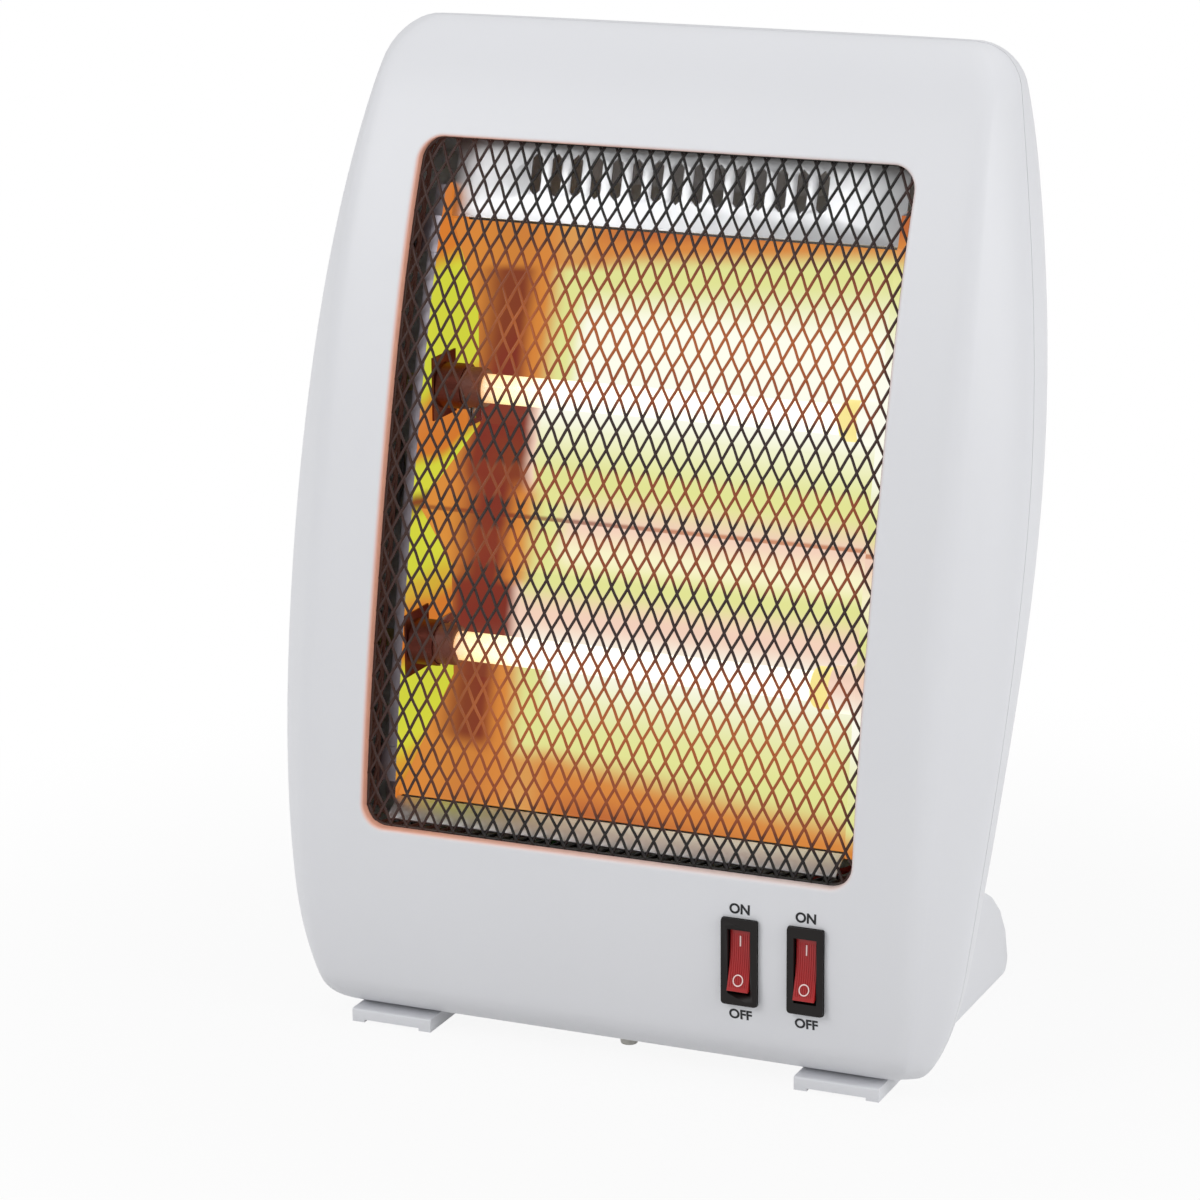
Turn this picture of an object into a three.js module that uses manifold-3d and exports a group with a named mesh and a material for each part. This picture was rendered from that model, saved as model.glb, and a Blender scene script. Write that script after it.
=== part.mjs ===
// Two-bar quartz heater: a leaning two-shell plastic housing on two moulded feet.
// Behind the woven guard a bright liner carries two quartz tubes, each with its own rocker switch.
// Millimetres, +Z up, the front faces -Y, and the feet stand on z = 0.
import * as THREE from "three";
import { mergeVertices } from "three/addons/utils/BufferGeometryUtils.js";
import Module from "manifold-3d";

const wasm = await Module();
wasm.setup();

// ---------------------------------------------------------------- driving dimensions
const WIDTH = 263; // housing at its widest, which is the seam at mid height
const DEPTH = 145; // tip of a rocker to the heel of a foot
const HEIGHT = 340; // floor to the crest of the housing
const GAP = 0.3; // running and seating clearance between two pieces
const WALL = 2.4; // moulded wall of both shells

const HOUSING_BOTTOM = 5; // flat underside of the housing above the floor
const ROCKER_PROUD = 3; // rocker tip ahead of the belly of the face
const FACE_SAG = 17.2; // mid-height face behind its own belly
const FACE_LEAN = 0.218; // backward lean of the face, per mm of height
const FACE_BOW = 10.4; // how the face curls back towards both ends
const FACE_CURL = 15.5; // sharper curl close to the ends
const SIDE_FLARE = 18.9; // seam outside the crease of the face
const CREASE_TAPER_TOP = 5.9;
const CREASE_TAPER_BOTTOM = 9.35;
const SEAM_SETBACK = 27.6; // seam behind the face at mid height
const WIDEST_Z = 178;
const SEAM_TAPER_TOP = 11.5;
const SEAM_TAPER_BOTTOM = 9.5;
const BACK_FOOT = 60; // back of the housing behind the belly of the face, at the bottom
const BACK_LEAN = 64; // how much further back it is at the top
const BACK_POWER = 3.2; // squareness of the domed back
const BACK_POWER_LOW = 2.2; // the same at the underside
const BACK_POWER_REACH = 158; // height over which it changes

const WINDOW_HALF = 88.6;
const WINDOW_BOTTOM = 74.5;
const WINDOW_TOP = 303;
const WINDOW_RADIUS = 8;
const RIM_DEPTH = 5.5; // return wall round the window
const RIM_WALL = 2;

const GUARD_SETBACK = 3.2; // guard behind the face
const GUARD_WIRE = 1.1;
const GUARD_DEPTH = 7; // how far its turned edge reaches back
const GUARD_COLUMNS = 9;
const GUARD_ROWS = 6;

const LINER_SETBACK = 12; // front edge of the liner behind the face
const LINER_HALF = 82; // inside of the end plates
const SHEET = 0.8; // liner sheet
const LINER_BOTTOM = 81;
const LINER_TOP = 286;

const TUBE_RADIUS = 5;
const TUBE_BORE = 4;
const TUBE_HALF = 72.5;
const TUBE_LOW_Z = 133;
const TUBE_LOW_SETBACK = 22; // lower tube axis behind the face
const TUBE_PITCH = 88.3;
const TUBE_LEAN = 0.2865; // lean of the line through both tubes, radians
const COIL_RADIUS = 2.9;
const COIL_WIRE = 0.5;
const COIL_CURLS = 15;
const CAP_RADIUS = 7;
const CAP_LENGTH = 12;
const CAP_INNER_X = 65;

const TROUGH_BACK = 29; // back of a reflector trough behind its tube
const TROUGH_UP = 20;
const TROUGH_DOWN = 20;

const SLOT_COUNT = 15;
const SLOT_PITCH = 7.4;
const SLOT_WIDTH = 3.6;
const SLOT_LENGTH = 14;

const SWITCH_Z = 45.5;
const SWITCH_X = 50.8; // left-hand switch
const SWITCH_PITCH = 23.3;
const BEZEL_WIDTH = 12.8;
const BEZEL_HEIGHT = 30.2;
const BEZEL_PROUD = 1.4;
const SWITCH_BODY_WIDTH = 10.6;
const SWITCH_BODY_HEIGHT = 26.6;
const SWITCH_BODY_DEPTH = 18;
const ROCKER_WIDTH = 7.4;
const ROCKER_HEIGHT = 21;
const ROCKER_THROW = 20; // degrees from ON to OFF

const FOOT_INNER_X = 67.1;
const FOOT_OUTER_X = 97.2;
const FOOT_TOE = 7.3; // toe of a foot behind the belly of the face
const FOOT_WALL = 2.5;
const FOOT_RECESS = 1; // hollow under the toe plate
const FOOT_LIP = 4.6;
const FOOT_HUMP_Z = 39;

const PLUNGER_RADIUS = 3;
const PLUNGER_TRAVEL = 5;
const PLUNGER_Y = -44.5;

const BOSS_X = 104;
const BOSS_LOW_Z = 62;
const BOSS_HIGH_Z = 284;
const BOSS_RADIUS = 4.6;
const SCREW_RADIUS = 1.5;

const GLAND_X = -52;
const GLAND_Z = 60;
const GLAND_RADIUS = 6;

const VENT_HEIGHT = 4;
const VENT_PITCH = 9;
const VENT_RIB = 3; // half of the plain strip between the left and the right slots
const VENT_ROWS = [
  { from: 88, count: 4, half: 58 },
  { from: 226, count: 4, half: 70 },
];

const GRIP_HALF = 46;
const GRIP_BOTTOM = 286;
const GRIP_TOP = 310;
const GRIP_DEPTH = 22;

const WHITE = 0xe3e5e8;
const BLACK = 0x17181a;
const BRIGHT = 0xc9cdd2;
const STEEL = 0x8d9196;
const CERAMIC = 0xd9d2c2;
const RED = 0xc32a22;
const QUARTZ = 0xffb070;

const BELLY_Y = -DEPTH / 2 + ROCKER_PROUD;
const HEEL_Y = DEPTH / 2;
const HALF_H = HEIGHT / 2;

// ---------------------------------------------------------------- solids and meshes
function solid(geometry) {
  const bare = geometry.clone();
  bare.deleteAttribute("normal");
  bare.deleteAttribute("uv");
  const merged = mergeVertices(bare, 1e-4);
  return new wasm.Manifold(
    new wasm.Mesh({
      numProp: 3,
      vertProperties: merged.attributes.position.array,
      triVerts: new Uint32Array(merged.index.array),
    }),
  );
}

const heater = new THREE.Group();
heater.name = "quartz_bar_heater";

function add(name, body, colour) {
  const mesh = body.getMesh();
  const points = new Float32Array(mesh.numVert * 3);
  for (let i = 0; i < mesh.numVert; i += 1) {
    points.set(mesh.vertProperties.subarray(i * mesh.numProp, i * mesh.numProp + 3), i * 3);
  }
  const geometry = new THREE.BufferGeometry();
  geometry.setAttribute("position", new THREE.BufferAttribute(points, 3));
  geometry.setIndex(new THREE.BufferAttribute(new Uint32Array(mesh.triVerts), 1));
  geometry.computeVertexNormals();
  const node = new THREE.Mesh(geometry, new THREE.MeshStandardMaterial({ color: colour }));
  node.name = name;
  heater.add(node);
}

function placed(geometry, xAxis, yAxis, zAxis, origin) {
  const matrix = new THREE.Matrix4().makeBasis(xAxis, yAxis, zAxis).setPosition(origin);
  return solid(geometry.applyMatrix4(matrix));
}

const X = new THREE.Vector3(1, 0, 0);
const Y = new THREE.Vector3(0, 1, 0);
const Z = new THREE.Vector3(0, 0, 1);

function shapeOf(outline) {
  if (outline instanceof THREE.Shape) return outline;
  return new THREE.Shape(outline.map(([u, v]) => new THREE.Vector2(u, v)));
}

// A side-view outline of [y, z] points, drawn out along X from x0 to x1.
function alongX(outline, x0, x1) {
  const geometry = new THREE.ExtrudeGeometry(shapeOf(outline), {
    depth: x1 - x0,
    bevelEnabled: false,
    curveSegments: 6,
  });
  return placed(geometry, Y, Z, X, new THREE.Vector3(x0, 0, 0));
}

// A front-view outline of [x, z] points, drawn out along Y from y0 to y1.
function alongY(outline, y0, y1, arcSteps = 2) {
  const geometry = new THREE.ExtrudeGeometry(shapeOf(outline), {
    depth: y1 - y0,
    bevelEnabled: false,
    curveSegments: arcSteps,
  });
  return placed(geometry, X, Z, Y.clone().negate(), new THREE.Vector3(0, y1, 0));
}

function box(x0, x1, y0, y1, z0, z1) {
  const geometry = new THREE.BoxGeometry(x1 - x0, y1 - y0, z1 - z0);
  geometry.translate((x0 + x1) / 2, (y0 + y1) / 2, (z0 + z1) / 2);
  return solid(geometry);
}

// A turned piece: [radius, distance] points round an axis through origin.
function turned(profile, origin, axis, sides = 16) {
  const points = profile.map(([r, d]) => new THREE.Vector2(r, d));
  points.push(points[0].clone());
  const geometry = new THREE.LatheGeometry(points, sides);
  const turn = new THREE.Quaternion().setFromUnitVectors(Y, axis);
  geometry.applyQuaternion(turn).translate(origin.x, origin.y, origin.z);
  const body = solid(geometry);
  return body.volume() < 0 ? solid(flipped(geometry)) : body;
}

function flipped(geometry) {
  const copy = geometry.clone();
  const index = copy.index.array;
  for (let i = 0; i < index.length; i += 3) {
    [index[i + 1], index[i + 2]] = [index[i + 2], index[i + 1]];
  }
  return copy;
}

function rod(radius, from, to, sides = 16) {
  const axis = to.clone().sub(from);
  const length = axis.length();
  const geometry = new THREE.CylinderGeometry(radius, radius, length, sides);
  geometry.translate(0, length / 2, 0);
  geometry.applyQuaternion(new THREE.Quaternion().setFromUnitVectors(Y, axis.normalize()));
  geometry.translate(from.x, from.y, from.z);
  return solid(geometry);
}

const at = (x, y, z) => new THREE.Vector3(x, y, z);

function roundedRect(x0, x1, z0, z1, radius) {
  const shape = new THREE.Shape();
  shape.moveTo(x0 + radius, z0);
  shape.lineTo(x1 - radius, z0);
  shape.absarc(x1 - radius, z0 + radius, radius, -Math.PI / 2, 0);
  shape.lineTo(x1, z1 - radius);
  shape.absarc(x1 - radius, z1 - radius, radius, 0, Math.PI / 2);
  shape.lineTo(x0 + radius, z1);
  shape.absarc(x0 + radius, z1 - radius, radius, Math.PI / 2, Math.PI);
  shape.lineTo(x0, z0 + radius);
  shape.absarc(x0 + radius, z0 + radius, radius, Math.PI, 1.5 * Math.PI);
  return shape;
}

// A slot with half-round ends; its long side runs along x when it is wider than high.
function obround(x0, x1, z0, z1) {
  const shape = new THREE.Shape();
  const quarter = Math.PI / 2;
  if (x1 - x0 > z1 - z0) {
    const r = (z1 - z0) / 2;
    shape.absarc(x1 - r, z0 + r, r, -quarter, quarter);
    shape.absarc(x0 + r, z0 + r, r, quarter, 3 * quarter);
  } else {
    const r = (x1 - x0) / 2;
    shape.absarc(x0 + r, z1 - r, r, 0, 2 * quarter);
    shape.absarc(x0 + r, z0 + r, r, 2 * quarter, 4 * quarter);
  }
  return shape;
}

const steps = (count) => Array.from({ length: count + 1 }, (_, i) => i / count);

// ---------------------------------------------------------------- housing form
// Height as a share of the half height, from -1 at the floor to 1 at the crest.
const level = (z) => (z - HALF_H) / HALF_H;

// 0 on the straight part of the housing and 1 where it ends, as a quarter ellipse.
function rounding(distance, radius) {
  const u = Math.min(Math.max(1 - distance / radius, 0), 1);
  return 1 - Math.sqrt(1 - u * u);
}
const topRound = (z, radius) => rounding(HEIGHT - z, radius);
const bottomRound = (z, radius) => rounding(z - HOUSING_BOTTOM, radius);

function faceY(z) {
  const s = level(z);
  return BELLY_Y + FACE_SAG + FACE_LEAN * (z - HALF_H) + FACE_BOW * s ** 2 + FACE_CURL * s ** 4;
}

function creaseX(z) {
  const taper = z > HALF_H ? CREASE_TAPER_TOP : CREASE_TAPER_BOTTOM;
  return WIDTH / 2 - SIDE_FLARE - taper * level(z) ** 4;
}

function seamX(z) {
  const above = z > WIDEST_Z;
  const reach = above ? HEIGHT - WIDEST_Z - 40 : WIDEST_Z - 40;
  return WIDTH / 2 - (above ? SEAM_TAPER_TOP : SEAM_TAPER_BOTTOM) * ((z - WIDEST_Z) / reach) ** 2;
}

function seamY(z) {
  const above = z > 200;
  const loss = above ? 8.2 * ((z - 200) / 100) ** 2 : 7 * ((200 - z) / 140) ** 1.5;
  return faceY(z) + SEAM_SETBACK - loss;
}

function backY(z) {
  const rise = Math.sin((Math.PI / 2) * Math.min(Math.max((z - 10) / (HEIGHT - 30), 0), 1)) ** 2;
  return BELLY_Y + BACK_FOOT + BACK_LEAN * rise;
}

function backPower(z) {
  const share = Math.min(Math.max((z - HOUSING_BOTTOM) / BACK_POWER_REACH, 0), 1);
  return BACK_POWER_LOW + (BACK_POWER - BACK_POWER_LOW) * share;
}

// The level section of the housing, moved inwards by inset.
function section(z, inset) {
  const seam = seamY(z);
  const crown = backY(HEIGHT) - seamY(HEIGHT) - 1;
  const front = faceY(z) + 10.7 * topRound(z, 24) + 14 * bottomRound(z, 14);
  const back = backY(z) - crown * topRound(z, 44) - 40 * bottomRound(z, 46);
  return {
    front: Math.min(front + inset, seam - 0.3),
    back: Math.max(back - inset, seam + 0.3),
    crease: creaseX(z) - 14 * topRound(z, 18) - 10 * bottomRound(z, 10) - inset,
    side: seamX(z) - 14 * topRound(z, 14) - 11 * bottomRound(z, 40) - inset,
    seam,
  };
}

// The unseen inner surface takes fewer steps than the outer one.
const OUTER_STEPS = { side: [0.16, 0.4, 0.68, 1], back: 7, low: 5, mid: 6, high: 6 };
const INNER_STEPS = { side: [0.4, 1], back: 5, low: 3, mid: 5, high: 4 };
const stepsFor = (inset) => (inset > 0 ? INNER_STEPS : OUTER_STEPS);

function sectionPoints(z, inset) {
  const s = section(z, inset);
  const fine = stepsFor(inset);
  const right = [
    [s.crease * 0.5, s.front],
    [s.crease - 4.5, s.front],
    [s.crease - 1.2, s.front + 0.5],
  ];
  fine.side.forEach((u) => {
    right.push([
      s.crease + (s.side - s.crease) * Math.sin((u * Math.PI) / 2),
      s.front + (s.seam - s.front) * u,
    ]);
  });
  const power = 2 / backPower(z);
  for (let i = 1; i < fine.back; i += 1) {
    const turn = ((i / fine.back) * Math.PI) / 2;
    right.push([
      s.side * Math.cos(turn) ** power,
      s.seam + (s.back - s.seam) * Math.sin(turn) ** power,
    ]);
  }
  const left = right.map(([x, y]) => [-x, y]).reverse();
  return [[0, s.front], ...right, [0, s.back], ...left];
}

function stations(inset) {
  const fine = stepsFor(inset);
  const low = steps(fine.low).map((u) => HOUSING_BOTTOM + 30 * (1 - Math.cos((u * Math.PI) / 2)));
  const high = steps(fine.high).map((u) => HEIGHT - 44 * (1 - Math.cos((u * Math.PI) / 2)));
  const from = HOUSING_BOTTOM + 30;
  const to = HEIGHT - 44;
  const mid = steps(fine.mid)
    .slice(1, -1)
    .map((u) => from + (to - from) * u);
  return [...low, ...mid, ...high.reverse()];
}

// The closed outer form of the housing, or the same form moved inwards by inset.
function housing(inset) {
  const levels = stations(inset);
  const shrink = (HEIGHT - HOUSING_BOTTOM - 2 * inset) / (HEIGHT - HOUSING_BOTTOM);
  const rings = levels.map((z) => {
    const height = HOUSING_BOTTOM + inset + (z - HOUSING_BOTTOM) * shrink;
    return sectionPoints(z, inset).map(([x, y]) => [x, y, height]);
  });
  const count = rings[0].length;
  const points = rings.flat(2);
  const faces = [];
  for (let i = 0; i + 1 < rings.length; i += 1) {
    for (let j = 0; j < count; j += 1) {
      const a = i * count + j;
      const b = i * count + ((j + 1) % count);
      faces.push(a, b, b + count, a, b + count, a + count);
    }
  }
  [0, rings.length - 1].forEach((i) => {
    const ends = section(levels[i], inset);
    const centre = points.length / 3;
    points.push(0, (ends.front + ends.back) / 2, rings[i][0][2]);
    for (let j = 0; j < count; j += 1) {
      const a = i * count + j;
      const b = i * count + ((j + 1) % count);
      faces.push(centre, i ? a : b, i ? b : a);
    }
  });
  const geometry = new THREE.BufferGeometry();
  geometry.setAttribute("position", new THREE.Float32BufferAttribute(points, 3));
  geometry.setIndex(faces);
  return solid(geometry);
}

// The space ahead of (or behind) the parting surface between the two shells.
function partingSide(front, clearance) {
  const levels = stations(0);
  const edge = levels.map((z) => [seamY(z) + clearance, z]);
  edge.unshift([edge[0][0], -30]);
  edge.push([edge[edge.length - 1][0], HEIGHT + 30]);
  const far = front ? -DEPTH : DEPTH;
  return alongX([...edge, [far, HEIGHT + 30], [far, -30]], -WIDTH, WIDTH);
}

// A layer of the space behind the face, from depth d0 to d1, as wide and high as asked.
function behindFace(d0, d1, x0, x1, z0, z1, count = 10) {
  const rise = steps(count).map((u) => z0 + (z1 - z0) * u);
  const outline = rise.map((z) => [faceY(z) + d0, z]);
  rise.reverse().forEach((z) => outline.push([faceY(z) + d1, z]));
  return alongX(outline, x0, x1);
}

// Where the outer back of the housing is at x, z.
function backAt(x, z) {
  const s = section(z, 0);
  const share = Math.min(Math.abs(x) / s.side, 1);
  const power = backPower(z);
  return s.seam + (s.back - s.seam) * (1 - share ** power) ** (1 / power);
}

// ---------------------------------------------------------------- shells
const outer = housing(0);
const hollow = housing(WALL);
const wall = outer.subtract(hollow);

const switchCentres = [SWITCH_X, SWITCH_X + SWITCH_PITCH];
const bossPlaces = [
  [-BOSS_X, BOSS_LOW_Z],
  [BOSS_X, BOSS_LOW_Z],
  [-BOSS_X, BOSS_HIGH_Z],
  [BOSS_X, BOSS_HIGH_Z],
];

const plateSeatZ = [LINER_BOTTOM + 12, LINER_TOP - 16]; // heights of the end-plate ears
const EAR_X = 97;

function frontShell() {
  const windowShape = roundedRect(-WINDOW_HALF, WINDOW_HALF, WINDOW_BOTTOM, WINDOW_TOP, WINDOW_RADIUS);
  const rimShape = roundedRect(
    -WINDOW_HALF - RIM_WALL,
    WINDOW_HALF + RIM_WALL,
    WINDOW_BOTTOM - RIM_WALL,
    WINDOW_TOP + RIM_WALL,
    WINDOW_RADIUS + RIM_WALL,
  );
  const rim = alongY(rimShape, -DEPTH, HEEL_Y).intersect(
    behindFace(1, RIM_DEPTH, -WIDTH, WIDTH, WINDOW_BOTTOM - 6, WINDOW_TOP + 6, 8),
  );
  let shell = wall.intersect(partingSide(true, 0)).add(rim);
  bossPlaces.forEach(([x, z]) => {
    const post = rod(BOSS_RADIUS, at(x, faceY(z) + 1, z), at(x, seamY(z) - 1, z), 12);
    shell = shell.add(post.intersect(outer));
  });
  plateSeatZ.forEach((z) => {
    [-EAR_X, EAR_X].forEach((x) => {
      const ear = rod(3.4, at(x, faceY(z) - 4, z), at(x, faceY(z) + 2 * LINER_SETBACK, z), 10);
      const reach = behindFace(1, LINER_SETBACK - GAP, x - 5, x + 5, z - 6, z + 6, 2);
      shell = shell.add(ear.intersect(reach));
    });
  });
  shell = shell.subtract(alongY(windowShape, -DEPTH, faceY(WINDOW_TOP) + 12));
  bossPlaces.forEach(([x, z]) => {
    const hole = rod(SCREW_RADIUS + GAP, at(x, faceY(z) + 9, z), at(x, seamY(z) + 2, z), 10);
    shell = shell.subtract(hole);
  });
  plateSeatZ.forEach((z) => {
    [-EAR_X, EAR_X].forEach((x) => {
      const hole = rod(1.2, at(x, faceY(z) + 4, z), at(x, faceY(z) + 20, z), 8);
      shell = shell.subtract(hole);
    });
  });
  switchCentres.forEach((x) => {
    const w = SWITCH_BODY_WIDTH / 2 + GAP;
    const h = SWITCH_BODY_HEIGHT / 2 + GAP;
    shell = shell.subtract(box(x - w, x + w, -DEPTH, faceY(SWITCH_Z) + 15, SWITCH_Z - h, SWITCH_Z + h));
  });
  return shell;
}

function ventSlots() {
  const slots = [];
  VENT_ROWS.forEach(({ from, count, half }) => {
    for (let i = 0; i < count; i += 1) {
      const z = from + i * VENT_PITCH;
      [-1, 1].forEach((side) => {
        const x0 = side < 0 ? -half : VENT_RIB;
        const x1 = side < 0 ? -VENT_RIB : half;
        slots.push(alongY(obround(x0, x1, z, z + VENT_HEIGHT), seamY(z) + 22, HEEL_Y + 10, 1));
      });
    }
  });
  return slots;
}

const SEAT_Z = HOUSING_BOTTOM + WALL + 3.7; // top of the seats inside the curved underside
const SEAT_FRONT = PLUNGER_Y - 3.8;
const SEAT_BACK = PLUNGER_Y + 4.2;

function rearShell() {
  const gripWall = WALL;
  const cup = alongY(
    roundedRect(
      -GRIP_HALF - gripWall,
      GRIP_HALF + gripWall,
      GRIP_BOTTOM - gripWall,
      GRIP_TOP + gripWall,
      10,
    ),
    backAt(0, GRIP_BOTTOM) - GRIP_DEPTH - gripWall,
    HEEL_Y + 20,
  ).intersect(outer);
  let shell = wall.intersect(partingSide(false, GAP)).add(cup);
  bossPlaces.forEach(([x, z]) => {
    const post = rod(BOSS_RADIUS + 1.4, at(x, seamY(z) + GAP, z), at(x, HEEL_Y, z), 14);
    shell = shell.add(post.intersect(outer));
  });
  const glandPad = rod(10, at(GLAND_X, glandY - 9, GLAND_Z), at(GLAND_X, glandSeatY, GLAND_Z), 18);
  shell = shell.add(glandPad.subtract(hollow));
  // Seats for the terminal block and the tip-over switch.
  [
    [GLAND_X + 6, GLAND_X + 36],
    [-9, 9],
  ].forEach(([x0, x1]) => {
    const seat = box(x0, x1, SEAT_FRONT, SEAT_BACK, HOUSING_BOTTOM + 0.7, SEAT_Z);
    shell = shell.add(seat.intersect(outer));
  });
  // Bosses on the floor of the housing: for each foot's screw.
  [-1, 1].forEach((side) => {
    const x = (side * (FOOT_INNER_X + FOOT_OUTER_X)) / 2;
    const post = rod(4, at(x, footScrewY, HOUSING_BOTTOM), at(x, footScrewY, HOUSING_BOTTOM + 12), 12);
    shell = shell.add(post.intersect(outer));
  });
  shell = shell.subtract(
    alongY(
      roundedRect(-GRIP_HALF, GRIP_HALF, GRIP_BOTTOM, GRIP_TOP, 8),
      backAt(0, GRIP_BOTTOM) - GRIP_DEPTH,
      HEEL_Y + 30,
    ),
  );
  ventSlots().forEach((slot) => {
    shell = shell.subtract(slot);
  });
  bossPlaces.forEach(([x, z]) => {
    const seat = seamY(z) + 9;
    shell = shell
      .subtract(rod(SCREW_RADIUS + GAP, at(x, seamY(z) - 2, z), at(x, seat + 1, z), 10))
      .subtract(rod(3.6, at(x, seat, z), at(x, HEEL_Y + 10, z), 14));
  });
  [-1, 1].forEach((side) => {
    const x = (side * (FOOT_INNER_X + FOOT_OUTER_X)) / 2;
    shell = shell.subtract(rod(SCREW_RADIUS + GAP, at(x, footScrewY, -1), at(x, footScrewY, HOUSING_BOTTOM + 14), 10));
  });
  shell = shell.subtract(
    rod(GLAND_RADIUS + GAP, at(GLAND_X, glandY - 14, GLAND_Z), at(GLAND_X, HEEL_Y, GLAND_Z), 16),
  );
  shell = shell.subtract(
    rod(PLUNGER_RADIUS + GAP, at(0, PLUNGER_Y, -1), at(0, PLUNGER_Y, HOUSING_BOTTOM + WALL + 6), 16),
  );
  return shell;
}

const footScrewY = PLUNGER_Y + 2.5;
const glandY = backAt(GLAND_X, GLAND_Z);
const glandSeatY = glandY + 1.8;

add("front_shell", frontShell(), WHITE);
add("rear_shell", rearShell(), WHITE);

// ---------------------------------------------------------------- guard
// A drawn tray of woven diamond mesh; its plain edge is turned back all round.
function guardMesh() {
  const half = WINDOW_HALF - GAP;
  const z0 = WINDOW_BOTTOM + GAP;
  const z1 = WINDOW_TOP - GAP;
  const radius = WINDOW_RADIUS - GAP;
  const depth = behindFace(GUARD_SETBACK, GUARD_SETBACK + GUARD_DEPTH, -WIDTH, WIDTH, z0 - 4, z1 + 4, 5);
  const tray = alongY(roundedRect(-half, half, z0, z1, radius), -DEPTH, HEEL_Y, 3);
  const inside = alongY(
    roundedRect(-half + GUARD_WIRE, half - GUARD_WIRE, z0 + GUARD_WIRE, z1 - GUARD_WIRE, radius - GUARD_WIRE),
    -DEPTH - 1,
    HEEL_Y + 1,
    3,
  );
  const edge = tray.subtract(inside).intersect(depth);
  const pitchX = (2 * half) / GUARD_COLUMNS;
  const pitchZ = (z1 - z0) / GUARD_ROWS;
  const bar = GUARD_WIRE * 1.1;
  const rim = half - GUARD_WIRE / 2;
  const rise = steps(GUARD_ROWS * 2).map((u) => z0 + GUARD_WIRE / 2 + (z1 - z0 - GUARD_WIRE) * u);
  const right = rise.map((z, i) => [i % (GUARD_ROWS * 2) ? rim : rim - radius + 1, z]);
  const left = right.map(([x, z]) => [-x, z]).reverse();
  const outline = shapeOf([...right, ...left]);
  for (let row = 0; row <= GUARD_ROWS * 2; row += 1) {
    for (let column = 0; column <= GUARD_COLUMNS * 2; column += 1) {
      if ((row + column) % 2) continue;
      const cx = -half + (column * pitchX) / 2;
      const cz = z0 + (row * pitchZ) / 2;
      const edgeColumn = column === 0 || column === GUARD_COLUMNS * 2;
      const edgeRow = row === 0 || row === GUARD_ROWS * 2;
      if (edgeColumn || edgeRow) continue;
      const w = pitchX / 2 - bar;
      const h = pitchZ / 2 - (bar * pitchZ) / pitchX;
      outline.holes.push(
        new THREE.Path([
          new THREE.Vector2(cx - w, cz),
          new THREE.Vector2(cx, cz - h),
          new THREE.Vector2(cx + w, cz),
          new THREE.Vector2(cx, cz + h),
        ]),
      );
    }
  }
  const net = new THREE.ExtrudeGeometry(outline, { depth: GUARD_WIRE, bevelEnabled: false });
  const points = net.attributes.position;
  for (let i = 0; i < points.count; i += 1) {
    const z = points.getY(i);
    points.setXYZ(i, points.getX(i), faceY(z) + GUARD_SETBACK + GUARD_WIRE - points.getZ(i), z);
  }
  return solid(net).add(edge);
}
add("guard_mesh", guardMesh(), BLACK);

// ---------------------------------------------------------------- liner and reflector
const tubes = {
  lower: { y: faceY(TUBE_LOW_Z) + TUBE_LOW_SETBACK, z: TUBE_LOW_Z },
};
tubes.upper = {
  y: tubes.lower.y + TUBE_PITCH * Math.sin(TUBE_LEAN),
  z: tubes.lower.z + TUBE_PITCH * Math.cos(TUBE_LEAN),
};

const topLip = { y: tubes.upper.y + 10.5, z: tubes.upper.z + 55.5 };
const bottomLip = { y: tubes.lower.y - 16, z: tubes.lower.z - 50 };
const ridge = { y: tubes.lower.y + 4.5, z: tubes.lower.z + 46.6 };

const reflectorLine = [
  [topLip.y, topLip.z],
  [tubes.upper.y + TROUGH_BACK, tubes.upper.z + TROUGH_UP],
  [tubes.upper.y + TROUGH_BACK, tubes.upper.z - TROUGH_DOWN],
  [ridge.y, ridge.z],
  [tubes.lower.y + TROUGH_BACK, tubes.lower.z + TROUGH_UP],
  [tubes.lower.y + TROUGH_BACK, tubes.lower.z - TROUGH_DOWN],
  [bottomLip.y, bottomLip.z],
];

// A folded sheet: the line of its front face, thickened away from the window.
function folded(line, thickness) {
  const normals = line.slice(1).map(([y, z], i) => {
    const dy = y - line[i][0];
    const dz = z - line[i][1];
    const length = Math.hypot(dy, dz);
    return [-dz / length, dy / length];
  });
  const back = line.map(([y, z], i) => {
    const a = normals[Math.max(i - 1, 0)];
    const b = normals[Math.min(i, normals.length - 1)];
    const scale = thickness / (1 + a[0] * b[0] + a[1] * b[1]);
    return [y + (a[0] + b[0]) * scale, z + (a[1] + b[1]) * scale];
  });
  return [...line, ...back.reverse()];
}

function rivetPlaces() {
  const { upper, lower } = tubes;
  return [
    [upper.y + TROUGH_BACK - 6, upper.z - 14],
    [lower.y + TROUGH_BACK - 6, lower.z - 2],
  ];
}

function reflector() {
  let sheet = alongX(folded(reflectorLine, SHEET), -LINER_HALF + GAP, LINER_HALF - GAP);
  rivetPlaces().forEach(([y, z]) => {
    [-1, 1].forEach((side) => {
      const x0 = side < 0 ? -LINER_HALF + GAP : LINER_HALF - GAP - SHEET;
      sheet = sheet.add(box(x0, x0 + SHEET, y - 4, y + 6.5, z - 5, z + 5));
      sheet = sheet.subtract(rod(SCREW_RADIUS + GAP, at(x0 - 1, y, z), at(x0 + 3, y, z), 10));
    });
  });
  return sheet;
}
add("reflector", reflector(), BRIGHT);

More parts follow.
